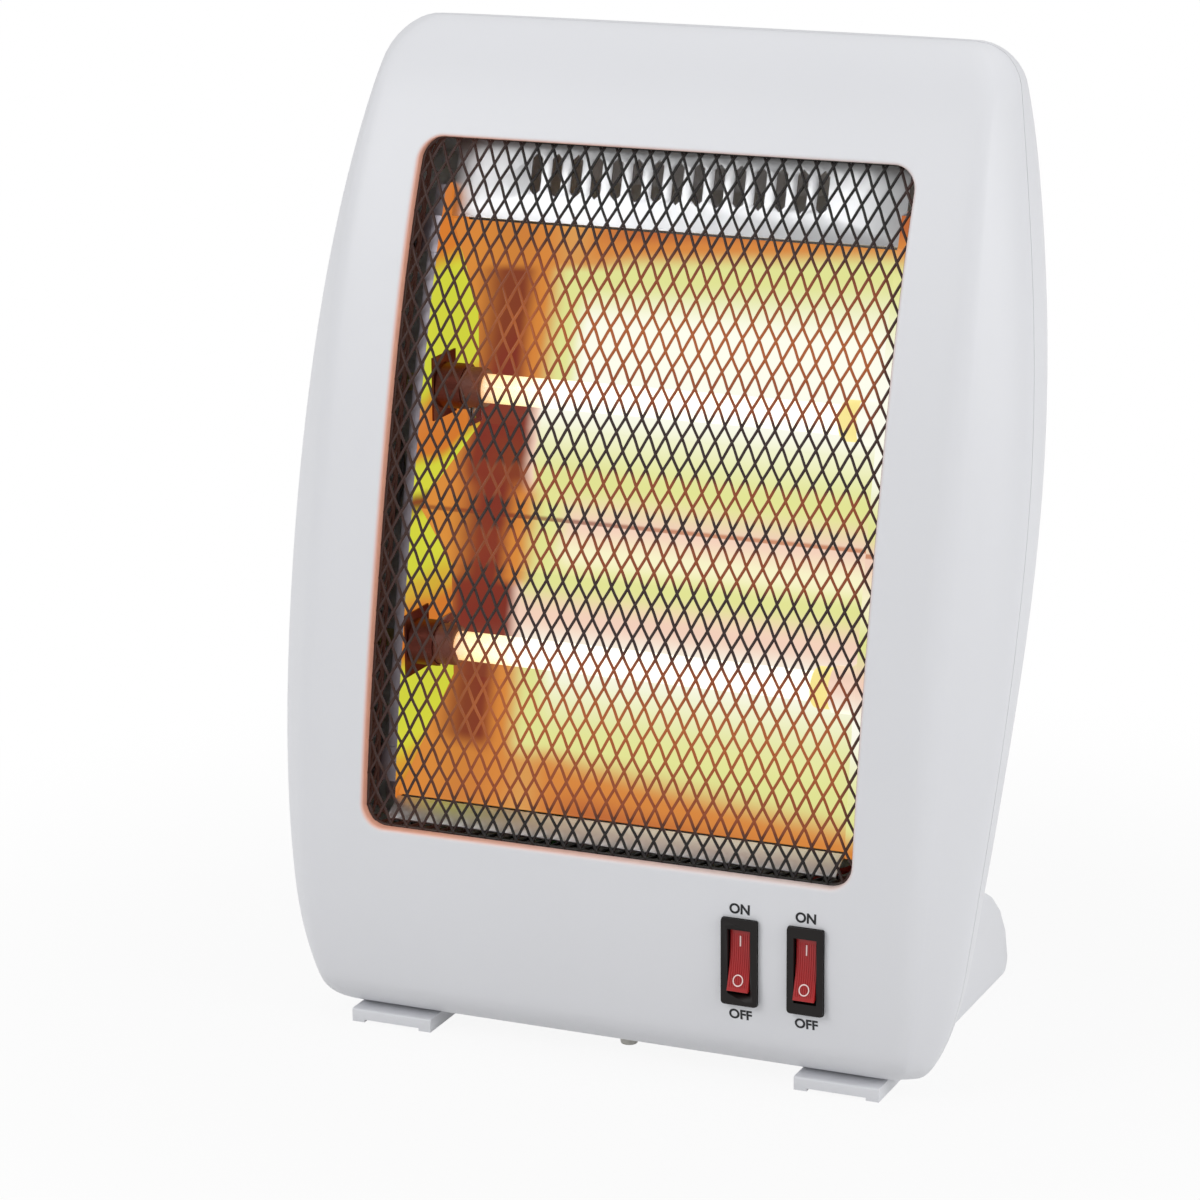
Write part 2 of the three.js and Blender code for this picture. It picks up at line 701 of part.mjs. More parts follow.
function endPlate(side) {
  const rise = steps(6).map((u) => LINER_BOTTOM + (LINER_TOP - LINER_BOTTOM) * u);
  const margin = 3.5;
  const { upper, lower } = tubes;
  const outline = rise.map((z) => [faceY(z) + LINER_SETBACK, z]);
  outline.push([topLip.y + 9, LINER_TOP]);
  outline.push([upper.y + TROUGH_BACK + margin, upper.z + TROUGH_UP + 2]);
  outline.push([upper.y + TROUGH_BACK + margin, upper.z - TROUGH_DOWN - 2]);
  outline.push([lower.y + TROUGH_BACK + margin, lower.z - TROUGH_DOWN - 2]);
  outline.push([bottomLip.y + 6, LINER_BOTTOM]);
  const inner = LINER_HALF;
  let plate = alongX(outline, inner, inner + SHEET);
  const hem = behindFace(LINER_SETBACK, LINER_SETBACK + SHEET, inner, inner + 3.6, LINER_BOTTOM, LINER_TOP, 6);
  plate = plate.add(hem);
  plateSeatZ.forEach((z) => {
    const ear = behindFace(LINER_SETBACK, LINER_SETBACK + SHEET, inner, EAR_X + 5, z - 6, z + 6, 2);
    plate = plate.add(ear).subtract(rod(1.8, at(EAR_X, faceY(z), z), at(EAR_X, faceY(z) + 20, z), 8));
  });
  [upper, lower].forEach(({ y, z }) => {
    plate = plate.subtract(rod(4, at(inner - 2, y, z), at(inner + 3, y, z), 14));
  });
  rivetPlaces().forEach(([y, z]) => {
    plate = plate.subtract(rod(SCREW_RADIUS + GAP, at(inner - 2, y, z), at(inner + 3, y, z), 10));
  });
  return side > 0 ? plate : plate.mirror([1, 0, 0]);
}
add("left_end_plate", endPlate(-1), BRIGHT);
add("right_end_plate", endPlate(1), BRIGHT);

function topApron() {
  const foot = [topLip.y - 1.5, topLip.z + 1.6];
  const head = [topLip.y + 6.5, WINDOW_TOP - 2];
  const lip = [topLip.y + 16, WINDOW_TOP - 1];
  const half = LINER_HALF - GAP;
  let sheet = alongX(folded([lip, head, foot], SHEET), -half, half);
  for (let i = 0; i < SLOT_COUNT; i += 1) {
    const x = (i - (SLOT_COUNT - 1) / 2) * SLOT_PITCH;
    const z0 = topLip.z + 10;
    const slot = obround(x - SLOT_WIDTH / 2, x + SLOT_WIDTH / 2, z0, z0 + SLOT_LENGTH);
    sheet = sheet.subtract(alongY(slot, topLip.y - 8, topLip.y + 11, 1));
  }
  return sheet;
}
add("top_apron", topApron(), BRIGHT);

function bottomApron() {
  const half = LINER_HALF - GAP;
  const line = [
    [bottomLip.y - 0.6, bottomLip.z - 0.8],
    [faceY(WINDOW_BOTTOM) + GUARD_SETBACK + GUARD_WIRE + 1, WINDOW_BOTTOM + GUARD_WIRE + SHEET + 2 * GAP],
  ];
  return alongX(folded(line, SHEET), -half, half);
}
add("bottom_apron", bottomApron(), BRIGHT);

// ---------------------------------------------------------------- heating elements
const SIDES = { left: -1, right: 1 };

function quartzTube({ y, z }) {
  const profile = [
    [TUBE_BORE, -TUBE_HALF],
    [TUBE_RADIUS, -TUBE_HALF],
    [TUBE_RADIUS, TUBE_HALF],
    [TUBE_BORE, TUBE_HALF],
  ];
  return turned(profile, at(0, y, z), X, 16);
}

const COIL_END = TUBE_HALF - 3;
const COIL_HALF = 60;

// The wound wire: straight tails on the axis, and turns that grow from it and return to it.
function coilPath({ y, z }) {
  const points = [at(-COIL_END, y, z), at(-COIL_HALF - 2.5, y, z)];
  const count = COIL_CURLS * 8;
  for (let i = 0; i <= count; i += 1) {
    const u = i / count;
    const grown = Math.min(1, u * COIL_CURLS, (1 - u) * COIL_CURLS);
    const turn = u * COIL_CURLS * 2 * Math.PI;
    const r = COIL_RADIUS * Math.sin((grown * Math.PI) / 2);
    points.push(at(-COIL_HALF + 2 * COIL_HALF * u, y + r * Math.cos(turn), z + r * Math.sin(turn)));
  }
  points.push(at(COIL_HALF + 2.5, y, z), at(COIL_END, y, z));
  return points;
}

// A round wire through points: five-sided rings, each square to the path.
function wire(points, radius, sides) {
  const vertices = [];
  const faces = [];
  points.forEach((point, i) => {
    const before = points[Math.max(i - 1, 0)];
    const after = points[Math.min(i + 1, points.length - 1)];
    const ahead = after.clone().sub(before).normalize();
    const across = new THREE.Vector3().crossVectors(ahead, Math.abs(ahead.x) > 0.95 ? Z : X).normalize();
    const up = new THREE.Vector3().crossVectors(ahead, across);
    for (let k = 0; k < sides; k += 1) {
      const turn = (k / sides) * 2 * Math.PI;
      const p = point
        .clone()
        .addScaledVector(across, radius * Math.cos(turn))
        .addScaledVector(up, radius * Math.sin(turn));
      vertices.push(p.x, p.y, p.z);
    }
  });
  for (let i = 0; i + 1 < points.length; i += 1) {
    for (let k = 0; k < sides; k += 1) {
      const a = i * sides + k;
      const b = i * sides + ((k + 1) % sides);
      faces.push(a, b, b + sides, a, b + sides, a + sides);
    }
  }
  const last = (points.length - 1) * sides;
  for (let k = 1; k + 1 < sides; k += 1) {
    faces.push(0, k + 1, k, last, last + k, last + k + 1);
  }
  const geometry = new THREE.BufferGeometry();
  geometry.setAttribute("position", new THREE.Float32BufferAttribute(vertices, 3));
  geometry.setIndex(faces);
  return solid(geometry);
}

// The least space between one turn of a coil and the next.
function turnGap(points, radius, perTurn) {
  let least = Infinity;
  points.forEach((p, i) => {
    for (let j = i + Math.floor(perTurn / 2) + 1; j < Math.min(points.length, i + perTurn * 3); j += 1) {
      least = Math.min(least, p.distanceTo(points[j]) - 2 * radius);
    }
  });
  return least;
}

function ceramicCap({ y, z }, side) {
  const inner = CAP_INNER_X;
  const outerX = inner + CAP_LENGTH;
  const bore = TUBE_RADIUS + GAP;
  const seat = TUBE_HALF + GAP;
  const profile = [
    [bore, inner],
    [CAP_RADIUS - 0.6, inner],
    [CAP_RADIUS, inner + 0.6],
    [CAP_RADIUS, outerX],
    [1.8, outerX],
    [1.8, seat],
    [bore, seat],
  ];
  return turned(profile, at(0, y, z), side > 0 ? X : X.clone().negate(), 12);
}

// A spring-steel collar round the cap, on a small plate against the end plate.
function tubeClip({ y, z }, side) {
  const plateX = LINER_HALF - GAP - SHEET;
  const collar = turned(
    [
      [CAP_RADIUS + GAP, plateX - 9],
      [CAP_RADIUS + GAP + SHEET, plateX - 9],
      [CAP_RADIUS + GAP + SHEET, plateX + 0.4],
      [CAP_RADIUS + GAP, plateX + 0.4],
    ],
    at(0, y, z),
    X,
    12,
  );
  const slit = box(plateX - 12, plateX, y - 1, y + 1, z - 12, z);
  const plate = box(plateX, plateX + SHEET, y - 9, y + 9, z - 11, z + 11);
  const hole = rod(2.6, at(plateX - 2, y, z), at(plateX + 4, y, z), 10);
  const clip = collar.subtract(slit).add(plate).subtract(hole);
  return side > 0 ? clip : clip.mirror([1, 0, 0]);
}

// A pin through the cap that ends in a flat push-on tab outside the end plate.
function elementTerminal({ y, z }, side) {
  const start = COIL_END + GAP;
  const tabX = LINER_HALF + 6;
  const pin = rod(1.4, at(start, y, z), at(tabX + 1, y, z), 8);
  const collar = rod(2.2, at(LINER_HALF + SHEET + GAP + 0.4, y, z), at(tabX, y, z), 8);
  const tab = box(tabX, tabX + 9, y - 0.4, y + 0.4, z - 3.1, z + 3.1);
  const eye = rod(0.8, at(tabX + 6.5, y - 2, z), at(tabX + 6.5, y + 2, z), 6);
  const whole = pin.add(collar).add(tab).subtract(eye);
  return side > 0 ? whole : whole.mirror([1, 0, 0]);
}

Object.entries(tubes).forEach(([level_, tube]) => {
  add(`quartz_tube_${level_}`, quartzTube(tube), QUARTZ);
  const path = coilPath(tube);
  add(`heating_coil_${level_}`, wire(path, COIL_WIRE, 5), STEEL);
  console.log(`heating_coil_${level_} least gap ${turnGap(path, COIL_WIRE, 8).toFixed(2)} mm`);
  Object.entries(SIDES).forEach(([hand, side]) => {
    add(`ceramic_cap_${level_}_${hand}`, ceramicCap(tube, side), CERAMIC);
    add(`tube_clip_${level_}_${hand}`, tubeClip(tube, side), STEEL);
    add(`element_terminal_${level_}_${hand}`, elementTerminal(tube, side), BRIGHT);
  });
});

// Rivets through the end plates and the reflector's turned ears.
rivetPlaces().forEach(([y, z], i) => {
  const name = i ? "lower" : "upper";
  Object.entries(SIDES).forEach(([hand, side]) => {
    const inside = LINER_HALF - GAP - SHEET;
    const outside = LINER_HALF + SHEET;
    const rivet = rod(SCREW_RADIUS, at(inside - 1, y, z), at(outside + 1, y, z), 8)
      .add(rod(2.8, at(inside - GAP - 1.3, y, z), at(inside - GAP, y, z), 10))
      .add(rod(2.4, at(outside + GAP, y, z), at(outside + GAP + 1, y, z), 10));
    add(`reflector_rivet_${name}_${hand}`, side > 0 ? rivet : rivet.mirror([1, 0, 0]), STEEL);
  });
});

// ---------------------------------------------------------------- rocker switches
const faceAtSwitch = faceY(SWITCH_Z);
const pivotY = faceAtSwitch + 1.6;
const bezelFrontY = faceAtSwitch - BEZEL_PROUD;

function switchBody(x) {
  const w = SWITCH_BODY_WIDTH / 2;
  const h = SWITCH_BODY_HEIGHT / 2;
  const bezelBack = Math.min(faceY(SWITCH_Z - BEZEL_HEIGHT / 2), faceY(SWITCH_Z + BEZEL_HEIGHT / 2), faceAtSwitch);
  const bezel = alongY(
    roundedRect(
      x - BEZEL_WIDTH / 2,
      x + BEZEL_WIDTH / 2,
      SWITCH_Z - BEZEL_HEIGHT / 2,
      SWITCH_Z + BEZEL_HEIGHT / 2,
      1.2,
    ),
    bezelFrontY,
    bezelBack - GAP,
  );
  const body = box(x - w, x + w, bezelFrontY + 0.2, faceAtSwitch + SWITCH_BODY_DEPTH, SWITCH_Z - h, SWITCH_Z + h);
  const well = box(
    x - ROCKER_WIDTH / 2 - GAP,
    x + ROCKER_WIDTH / 2 + GAP,
    bezelFrontY - 2,
    pivotY + 7.5,
    SWITCH_Z - ROCKER_HEIGHT / 2 - 0.8,
    SWITCH_Z + ROCKER_HEIGHT / 2 + 0.8,
  );
  let whole = body.add(bezel).subtract(well);
  [-1, 1].forEach((side) => {
    const socket = rod(
      0.8 + GAP,
      at(x + side * (ROCKER_WIDTH / 2 - 0.2), pivotY, SWITCH_Z),
      at(x + side * (ROCKER_WIDTH / 2 + 1.2), pivotY, SWITCH_Z),
      12,
    );
    whole = whole.subtract(socket);
  });
  terminalZ.forEach((z) => {
    const back = faceAtSwitch + SWITCH_BODY_DEPTH;
    whole = whole.subtract(
      box(x - 2.4 - GAP, x + 2.4 + GAP, back - 5 - GAP, back + 1, z - 0.4 - GAP, z + 0.4 + GAP),
    );
  });
  return whole;
}

const terminalZ = [SWITCH_Z - 7.5, SWITCH_Z + 7.5];

// The paddle in its ON place: the upper end is pressed in and the lower end stands out.
function rocker(x) {
  const half = ROCKER_HEIGHT / 2;
  const tilt = (ROCKER_THROW / 2) * (Math.PI / 180);
  const reach = pivotY + DEPTH / 2; // from the pivot to the lower tip, which stands furthest out
  const crown = (reach - (half - 0.2) * Math.sin(tilt)) / Math.cos(tilt); // paddle face ahead of the pivot
  const dish = 1.1; // the middle is lower than both ends
  const outline = new THREE.Shape();
  outline.moveTo(-crown, -half + 0.2);
  outline.quadraticCurveTo(-crown + 2 * dish, 0, -crown, half - 0.2);
  outline.lineTo(-crown + 0.7, half);
  outline.lineTo(0.2, half - 1.2);
  outline.lineTo(4.2, 2.4);
  outline.lineTo(4.2, -2.4);
  outline.lineTo(0.2, -half + 1.2);
  outline.lineTo(-crown + 0.7, -half);
  const geometry = new THREE.ExtrudeGeometry(outline, {
    depth: ROCKER_WIDTH,
    bevelEnabled: false,
    curveSegments: 10,
  });
  const turn = new THREE.Matrix4().makeRotationX(-tilt);
  const place = new THREE.Matrix4().makeBasis(Y, Z, X).setPosition(-ROCKER_WIDTH / 2, 0, 0);
  const move = new THREE.Matrix4().setPosition(x, pivotY, SWITCH_Z);
  let paddle = solid(geometry.applyMatrix4(place).applyMatrix4(turn).applyMatrix4(move));
  const pin = rod(
    0.8,
    at(x - ROCKER_WIDTH / 2 - 0.9, pivotY, SWITCH_Z),
    at(x + ROCKER_WIDTH / 2 + 0.9, pivotY, SWITCH_Z),
    10,
  );
  return paddle.add(pin);
}

function switchTerminal(x, z) {
  const back = faceAtSwitch + SWITCH_BODY_DEPTH;
  const blade = box(x - 2.4, x + 2.4, back - 5, back + 8, z - 0.4, z + 0.4);
  return blade.subtract(rod(0.8, at(x, back + 5.5, z - 2), at(x, back + 5.5, z + 2), 8));
}

switchCentres.forEach((x, i) => {
  const hand = i ? "right" : "left";
  add(`switch_body_${hand}`, switchBody(x), BLACK);
  add(`rocker_${hand}`, rocker(x), RED);
  add(`switch_terminal_${hand}_feed`, switchTerminal(x, terminalZ[0]), STEEL);
  add(`switch_terminal_${hand}_load`, switchTerminal(x, terminalZ[1]), STEEL);
});

// ---------------------------------------------------------------- feet
function foot(side) {
  const toe = BELLY_Y + FOOT_TOE;
  const plateTop = HOUSING_BOTTOM - GAP;
  const outline = new THREE.Shape();
  outline.moveTo(toe, 0);
  outline.lineTo(toe, plateTop - 0.7);
  outline.quadraticCurveTo(toe, plateTop, toe + 1.2, plateTop);
  outline.lineTo(-48, plateTop);
  outline.lineTo(-30, FOOT_HUMP_Z + 9);
  outline.lineTo(16, FOOT_HUMP_Z + 7);
  outline.bezierCurveTo(44, FOOT_HUMP_Z + 5, HEEL_Y - 2, FOOT_HUMP_Z - 11, HEEL_Y, 5.3);
  outline.quadraticCurveTo(HEEL_Y - 0.4, 0, HEEL_Y - 5, 0);
  const whole = alongX(outline, FOOT_INNER_X, FOOT_OUTER_X).subtract(housing(-GAP));

  const pocket = new THREE.Shape();
  const heel = HEEL_Y - FOOT_WALL;
  pocket.moveTo(-33, -2);
  pocket.lineTo(-33, FOOT_RECESS);
  pocket.lineTo(-24, FOOT_HUMP_Z + 5);
  pocket.lineTo(16, FOOT_HUMP_Z + 7 - FOOT_WALL);
  pocket.bezierCurveTo(43, FOOT_HUMP_Z + 5 - FOOT_WALL, heel - 2, FOOT_HUMP_Z - 12, heel - 0.6, 5.3);
  pocket.lineTo(heel - 1.5, -2);
  const hollowFoot = alongX(pocket, FOOT_INNER_X + FOOT_WALL, FOOT_OUTER_X - FOOT_WALL).subtract(
    housing(-GAP - FOOT_WALL),
  );
  const channel = box(
    FOOT_INNER_X + FOOT_LIP,
    FOOT_OUTER_X - FOOT_LIP,
    toe - 1,
    -32,
    -2,
    FOOT_RECESS,
  );
  const x = (FOOT_INNER_X + FOOT_OUTER_X) / 2;
  const hole = rod(SCREW_RADIUS + GAP, at(x, footScrewY, -1), at(x, footScrewY, plateTop + 5), 10);
  const sink = turned(
    [
      [0, -1],
      [3.4 + GAP, -1],
      [3.4 + GAP, FOOT_RECESS],
      [SCREW_RADIUS + GAP, FOOT_RECESS + 1.7],
      [0, FOOT_RECESS + 1.7],
    ],
    at(x, footScrewY, 0),
    Z,
    12,
  );
  const made = whole.subtract(hollowFoot).subtract(channel).subtract(hole).subtract(sink);
  return side > 0 ? made : made.mirror([1, 0, 0]);
}

function footScrew(side) {
  const x = (side * (FOOT_INNER_X + FOOT_OUTER_X)) / 2;
  const profile = [
    [0, 0.5],
    [3.2, 0.5],
    [3.2, FOOT_RECESS],
    [SCREW_RADIUS, FOOT_RECESS + 1.5],
    [SCREW_RADIUS, HOUSING_BOTTOM + 10],
    [0, HOUSING_BOTTOM + 11],
  ];
  return turned(profile, at(x, footScrewY, 0), Z, 12);
}

Object.entries(SIDES).forEach(([hand, side]) => {
  add(`${hand}_foot`, foot(side), WHITE);
  add(`foot_screw_${hand}`, footScrew(side), STEEL);
});

// ---------------------------------------------------------------- tip-over switch
const tipBodyZ = SEAT_Z + GAP;

function tipSwitchBody() {
  const body = box(-9, 9, PLUNGER_Y - 6, PLUNGER_Y + 6, tipBodyZ, tipBodyZ + 26);
  const bore = rod(PLUNGER_RADIUS + GAP, at(0, PLUNGER_Y, tipBodyZ - 1), at(0, PLUNGER_Y, tipBodyZ + 5), 16);
  const chamber = rod(5.2, at(0, PLUNGER_Y, tipBodyZ + 1.5), at(0, PLUNGER_Y, tipBodyZ + 21), 16);
  const side = box(-2.5, 2.5, PLUNGER_Y - 9, PLUNGER_Y, tipBodyZ + 4, tipBodyZ + 19);
  return body.subtract(bore).subtract(chamber).subtract(side);
}

function tipSwitchPlunger() {
  const collarZ = tipBodyZ + 1.5 + GAP + PLUNGER_TRAVEL;
  return rod(PLUNGER_RADIUS, at(0, PLUNGER_Y, 0.2), at(0, PLUNGER_Y, collarZ + 3), 16)
    .add(rod(4.6, at(0, PLUNGER_Y, collarZ), at(0, PLUNGER_Y, collarZ + 1.5), 16));
}

function tipSwitchSpring() {
  const from = tipBodyZ + 1.5 + GAP + PLUNGER_TRAVEL + 1.5 + GAP + 0.5;
  const to = tipBodyZ + 21 - GAP - 0.5;
  const count = 4 * 8;
  const points = [];
  for (let i = 0; i <= count; i += 1) {
    const turn = (i / 8) * 2 * Math.PI;
    points.push(at(4.1 * Math.cos(turn), PLUNGER_Y + 4.1 * Math.sin(turn), from + ((to - from) * i) / count));
  }
  console.log(`tip_switch_spring least gap ${turnGap(points, 0.45, 8).toFixed(2)} mm`);
  return wire(points, 0.45, 5);
}

add("tip_switch_body", tipSwitchBody(), BLACK);
add("tip_switch_plunger", tipSwitchPlunger(), WHITE);
add("tip_switch_spring", tipSwitchSpring(), STEEL);

// ---------------------------------------------------------------- cord inlet and terminal block
function cordGland() {
  const profile = [
    [3.4, 3.2],
    [8.4, 3.2],
    [9, 2.4],
    [9, GAP],
    [GLAND_RADIUS, GAP],
    [GLAND_RADIUS, -WALL - 4.2],
    [3.4, -WALL - 4.2],
  ];
  return turned(profile, at(GLAND_X, glandSeatY, GLAND_Z), Y, 14);
}

const BLOCK_DEPTH = 12;
const blockLeft = GLAND_X + 6;
const blockFloor = SEAT_Z + GAP;
const blockFront = PLUNGER_Y - 8.5;

function terminalBlock() {
  const x0 = blockLeft;
  const z0 = blockFloor;
  const y0 = blockFront;
  let block = box(x0, x0 + 30, y0, y0 + BLOCK_DEPTH, z0, z0 + 13);
  [0, 1, 2].forEach((i) => {
    const x = x0 + 5 + i * 10;
    block = block
      .subtract(rod(1.8, at(x, y0 - 1, z0 + 5), at(x, y0 + BLOCK_DEPTH + 1, z0 + 5), 8))
      .subtract(rod(2, at(x, y0 + 6, z0 + 5), at(x, y0 + 6, z0 + 14), 8));
    if (i) block = block.subtract(box(x - 5.5, x - 4.5, y0 - 1, y0 + BLOCK_DEPTH + 1, z0 + 8.5, z0 + 14));
  });
  return block;
}

add("cord_gland", cordGland(), BLACK);
add("terminal_block", terminalBlock(), CERAMIC);

// ---------------------------------------------------------------- shell screws
bossPlaces.forEach(([x, z], i) => {
  const seat = seamY(z) + 9 + GAP;
  const profile = [
    [0, 0],
    [SCREW_RADIUS, 0.8],
    [SCREW_RADIUS, 18],
    [3.2, 18],
    [3.2, 19.4],
    [2.2, 20.2],
    [0, 20.2],
  ];
  const name = `shell_screw_${z > HALF_H ? "upper" : "lower"}_${x < 0 ? "left" : "right"}`;
  add(name, turned(profile, at(x, seat - 18, z), Y, 12), STEEL);
  return i;
});

// ---------------------------------------------------------------- internal leads
const LEAD_RADIUS = 1.1;
const LEAD_GAP = 0.85; // bare end of a lead from the metal that it is pushed on to

const LEAD_STEP = 10.5;

function lead(points) {
  const curve = new THREE.CatmullRomCurve3(points, false, "centripetal");
  const count = Math.max(4, Math.round(curve.getLength() / LEAD_STEP));
  return wire(curve.getSpacedPoints(count), LEAD_RADIUS, 8);
}

const blockX = (i) => blockLeft + 5 + i * 10;
const blockZ = blockFloor + 5;
const tabEnd = LINER_HALF + 15 + LEAD_GAP;
const bladeEnd = faceAtSwitch + SWITCH_BODY_DEPTH + 8 + LEAD_GAP;
const entryY = blockFront + BLOCK_DEPTH + LEAD_GAP;
const switchAX = switchCentres[0];
const switchBX = switchCentres[1];

// A lead that leaves the end of an element along X and then drops down beside the liner.
function fromElement(side, tube, rest) {
  return [at(side * tabEnd, tube.y, tube.z), at(side * (tabEnd + 4), tube.y + 0.5, tube.z - 1.5), ...rest];
}

add(
  "lead_supply",
  lead([
    at(blockX(2), entryY, blockZ),
    at(blockX(2), entryY + 4, blockZ + 2),
    at(-13, PLUNGER_Y + 7, blockZ + 5),
    at(-9 - 2 * LEAD_GAP, PLUNGER_Y, blockZ + 3),
  ]),
  BLACK,
);
add(
  "lead_tip_switch",
  lead([
    at(9 + LEAD_GAP, PLUNGER_Y, blockZ + 3),
    at(26, PLUNGER_Y + 2, blockZ + 4),
    at(switchAX - 4, bladeEnd + 4, terminalZ[0] - 10),
    at(switchAX, bladeEnd + 3, terminalZ[0] - 2),
    at(switchAX, bladeEnd, terminalZ[0]),
  ]),
  BLACK,
);
add(
  "lead_switch_link",
  lead([
    at(switchAX + 2.4 + LEAD_GAP, bladeEnd - 4, terminalZ[0]),
    at(switchAX + SWITCH_PITCH / 2, bladeEnd - 3, terminalZ[0] - 3),
    at(switchBX - 2.4 - LEAD_GAP, bladeEnd - 4, terminalZ[0]),
  ]),
  BLACK,
);
add(
  "lead_lower_element",
  lead(
    fromElement(1, tubes.lower, [
      at(tabEnd + 4, tubes.lower.y + 6, 100),
      at(94, -26, 76),
      at(switchBX + 6, bladeEnd + 6, terminalZ[1] + 6),
      at(switchBX, bladeEnd + 3, terminalZ[1] + 1),
      at(switchBX, bladeEnd, terminalZ[1]),
    ]),
  ),
  RED,
);
add(
  "lead_upper_element",
  lead(
    fromElement(1, tubes.upper, [
      at(tabEnd + 5, tubes.upper.y + 12, 180),
      at(tabEnd + 2, tubes.upper.y - 6, 120),
      at(86, -20, 74),
      at(switchAX + 8, bladeEnd + 12, terminalZ[1] + 8),
      at(switchAX, bladeEnd + 3, terminalZ[1] + 1),
      at(switchAX, bladeEnd, terminalZ[1]),
    ]),
  ),
  RED,
);
add(
  "lead_neutral_lower",
  lead(
    fromElement(-1, tubes.lower, [
      at(-tabEnd - 3, tubes.lower.y + 6, 100),
      at(-90, -24, 60),
      at(blockX(0) - 10, entryY + 8, 24),
      at(blockX(0), entryY + 3, blockZ + 1),
      at(blockX(0), entryY, blockZ),
    ]),
  ),
  STEEL,
);
add(
  "lead_neutral_upper",
  lead(
    fromElement(-1, tubes.upper, [
      at(-tabEnd - 5, tubes.upper.y + 10, 180),
      at(-tabEnd - 5, tubes.lower.y + 6, tubes.lower.z + 14),
      at(-tabEnd + 4, tubes.lower.y + 1, tubes.lower.z + 3.1 + 1.1 + LEAD_GAP),
    ]),
  ),
  STEEL,
);
add(
  "lead_earth",
  lead([
    at(blockX(1), entryY, blockZ),
    at(blockX(1), entryY + 4, blockZ + 4),
    at(-40, -17, 60),
    at(-30, tubes.lower.y + TROUGH_BACK + SHEET + 5, tubes.lower.z - 10),
    at(-30, tubes.lower.y + TROUGH_BACK + SHEET + LEAD_GAP + GAP, tubes.lower.z),
  ]),
  WHITE,
);

export default heater;
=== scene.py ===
"""Two-bar quartz heater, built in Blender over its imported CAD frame.

Sizes are in millimetres and become metres where a mesh is made.  X runs along the heater,
Y from its front to its back, and Z up from the floor.
"""

import logging
import math
from collections.abc import Callable, Sequence
from dataclasses import dataclass, field
from enum import Enum

import bpy
from mathutils import Matrix, Vector


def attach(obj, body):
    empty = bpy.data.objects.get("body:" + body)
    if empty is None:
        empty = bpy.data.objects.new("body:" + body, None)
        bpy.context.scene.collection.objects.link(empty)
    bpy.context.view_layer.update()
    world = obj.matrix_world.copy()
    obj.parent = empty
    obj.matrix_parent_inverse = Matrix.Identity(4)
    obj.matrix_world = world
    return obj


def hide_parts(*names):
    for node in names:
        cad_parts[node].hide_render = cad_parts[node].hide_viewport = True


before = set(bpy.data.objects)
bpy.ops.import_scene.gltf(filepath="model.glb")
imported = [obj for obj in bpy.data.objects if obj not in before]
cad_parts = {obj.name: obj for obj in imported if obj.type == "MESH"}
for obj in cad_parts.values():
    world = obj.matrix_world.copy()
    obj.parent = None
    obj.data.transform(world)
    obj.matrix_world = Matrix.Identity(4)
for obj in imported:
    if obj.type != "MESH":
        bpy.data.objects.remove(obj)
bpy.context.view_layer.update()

log = logging.getLogger("heater")

MM = 0.001
Point = tuple[float, float]
Place = tuple[float, float, float]
Colour = tuple[float, float, float]
Stops = Sequence[tuple[float, Colour]]

BODY = "heater"

SHELL_SCREWS_X = (-104.0, 104.0)
SHELL_SCREWS_Z = (62.0, 284.0)
SURROUND = 0.56  # strength of the surroundings' light
FLOOR_NEAR = 0.91  # share of plain white in the floor by the heater


class Hand(Enum):
    """The side of the heater, as seen from its front."""

    LEFT = -1
    RIGHT = 1

    @property
    def word(self) -> str:
        """The hand as it is written in a node's name."""
        return self.name.lower()


class Axis(Enum):
    """A world axis that a round piece is turned about."""

    X = (0.0, math.pi / 2, 0.0)
    Y = (math.pi / 2, 0.0, 0.0)
    Z = (0.0, 0.0, 0.0)


# ------------------------------------------------------------------------------ mesh tools
def deselect() -> None:
    """Leaves edit mode and clears the selection."""
    if bpy.context.object and bpy.context.object.mode != "OBJECT":
        bpy.ops.object.mode_set(mode="OBJECT")
    bpy.ops.object.select_all(action="DESELECT")


def activate(piece: bpy.types.Object) -> None:
    """Makes one object the only selected and active one.

    Args:
        piece: The object to work on.
    """
    deselect()
    piece.select_set(True)
    bpy.context.view_layer.objects.active = piece


def settle(piece: bpy.types.Object) -> bpy.types.Object:
    """Moves an object's place into its mesh, so that it sits at the origin, unturned.

    Args:
        piece: The object to settle.

    Returns:
        The same object.
    """
    activate(piece)
    bpy.ops.object.transform_apply(location=True, rotation=True, scale=True)
    return piece


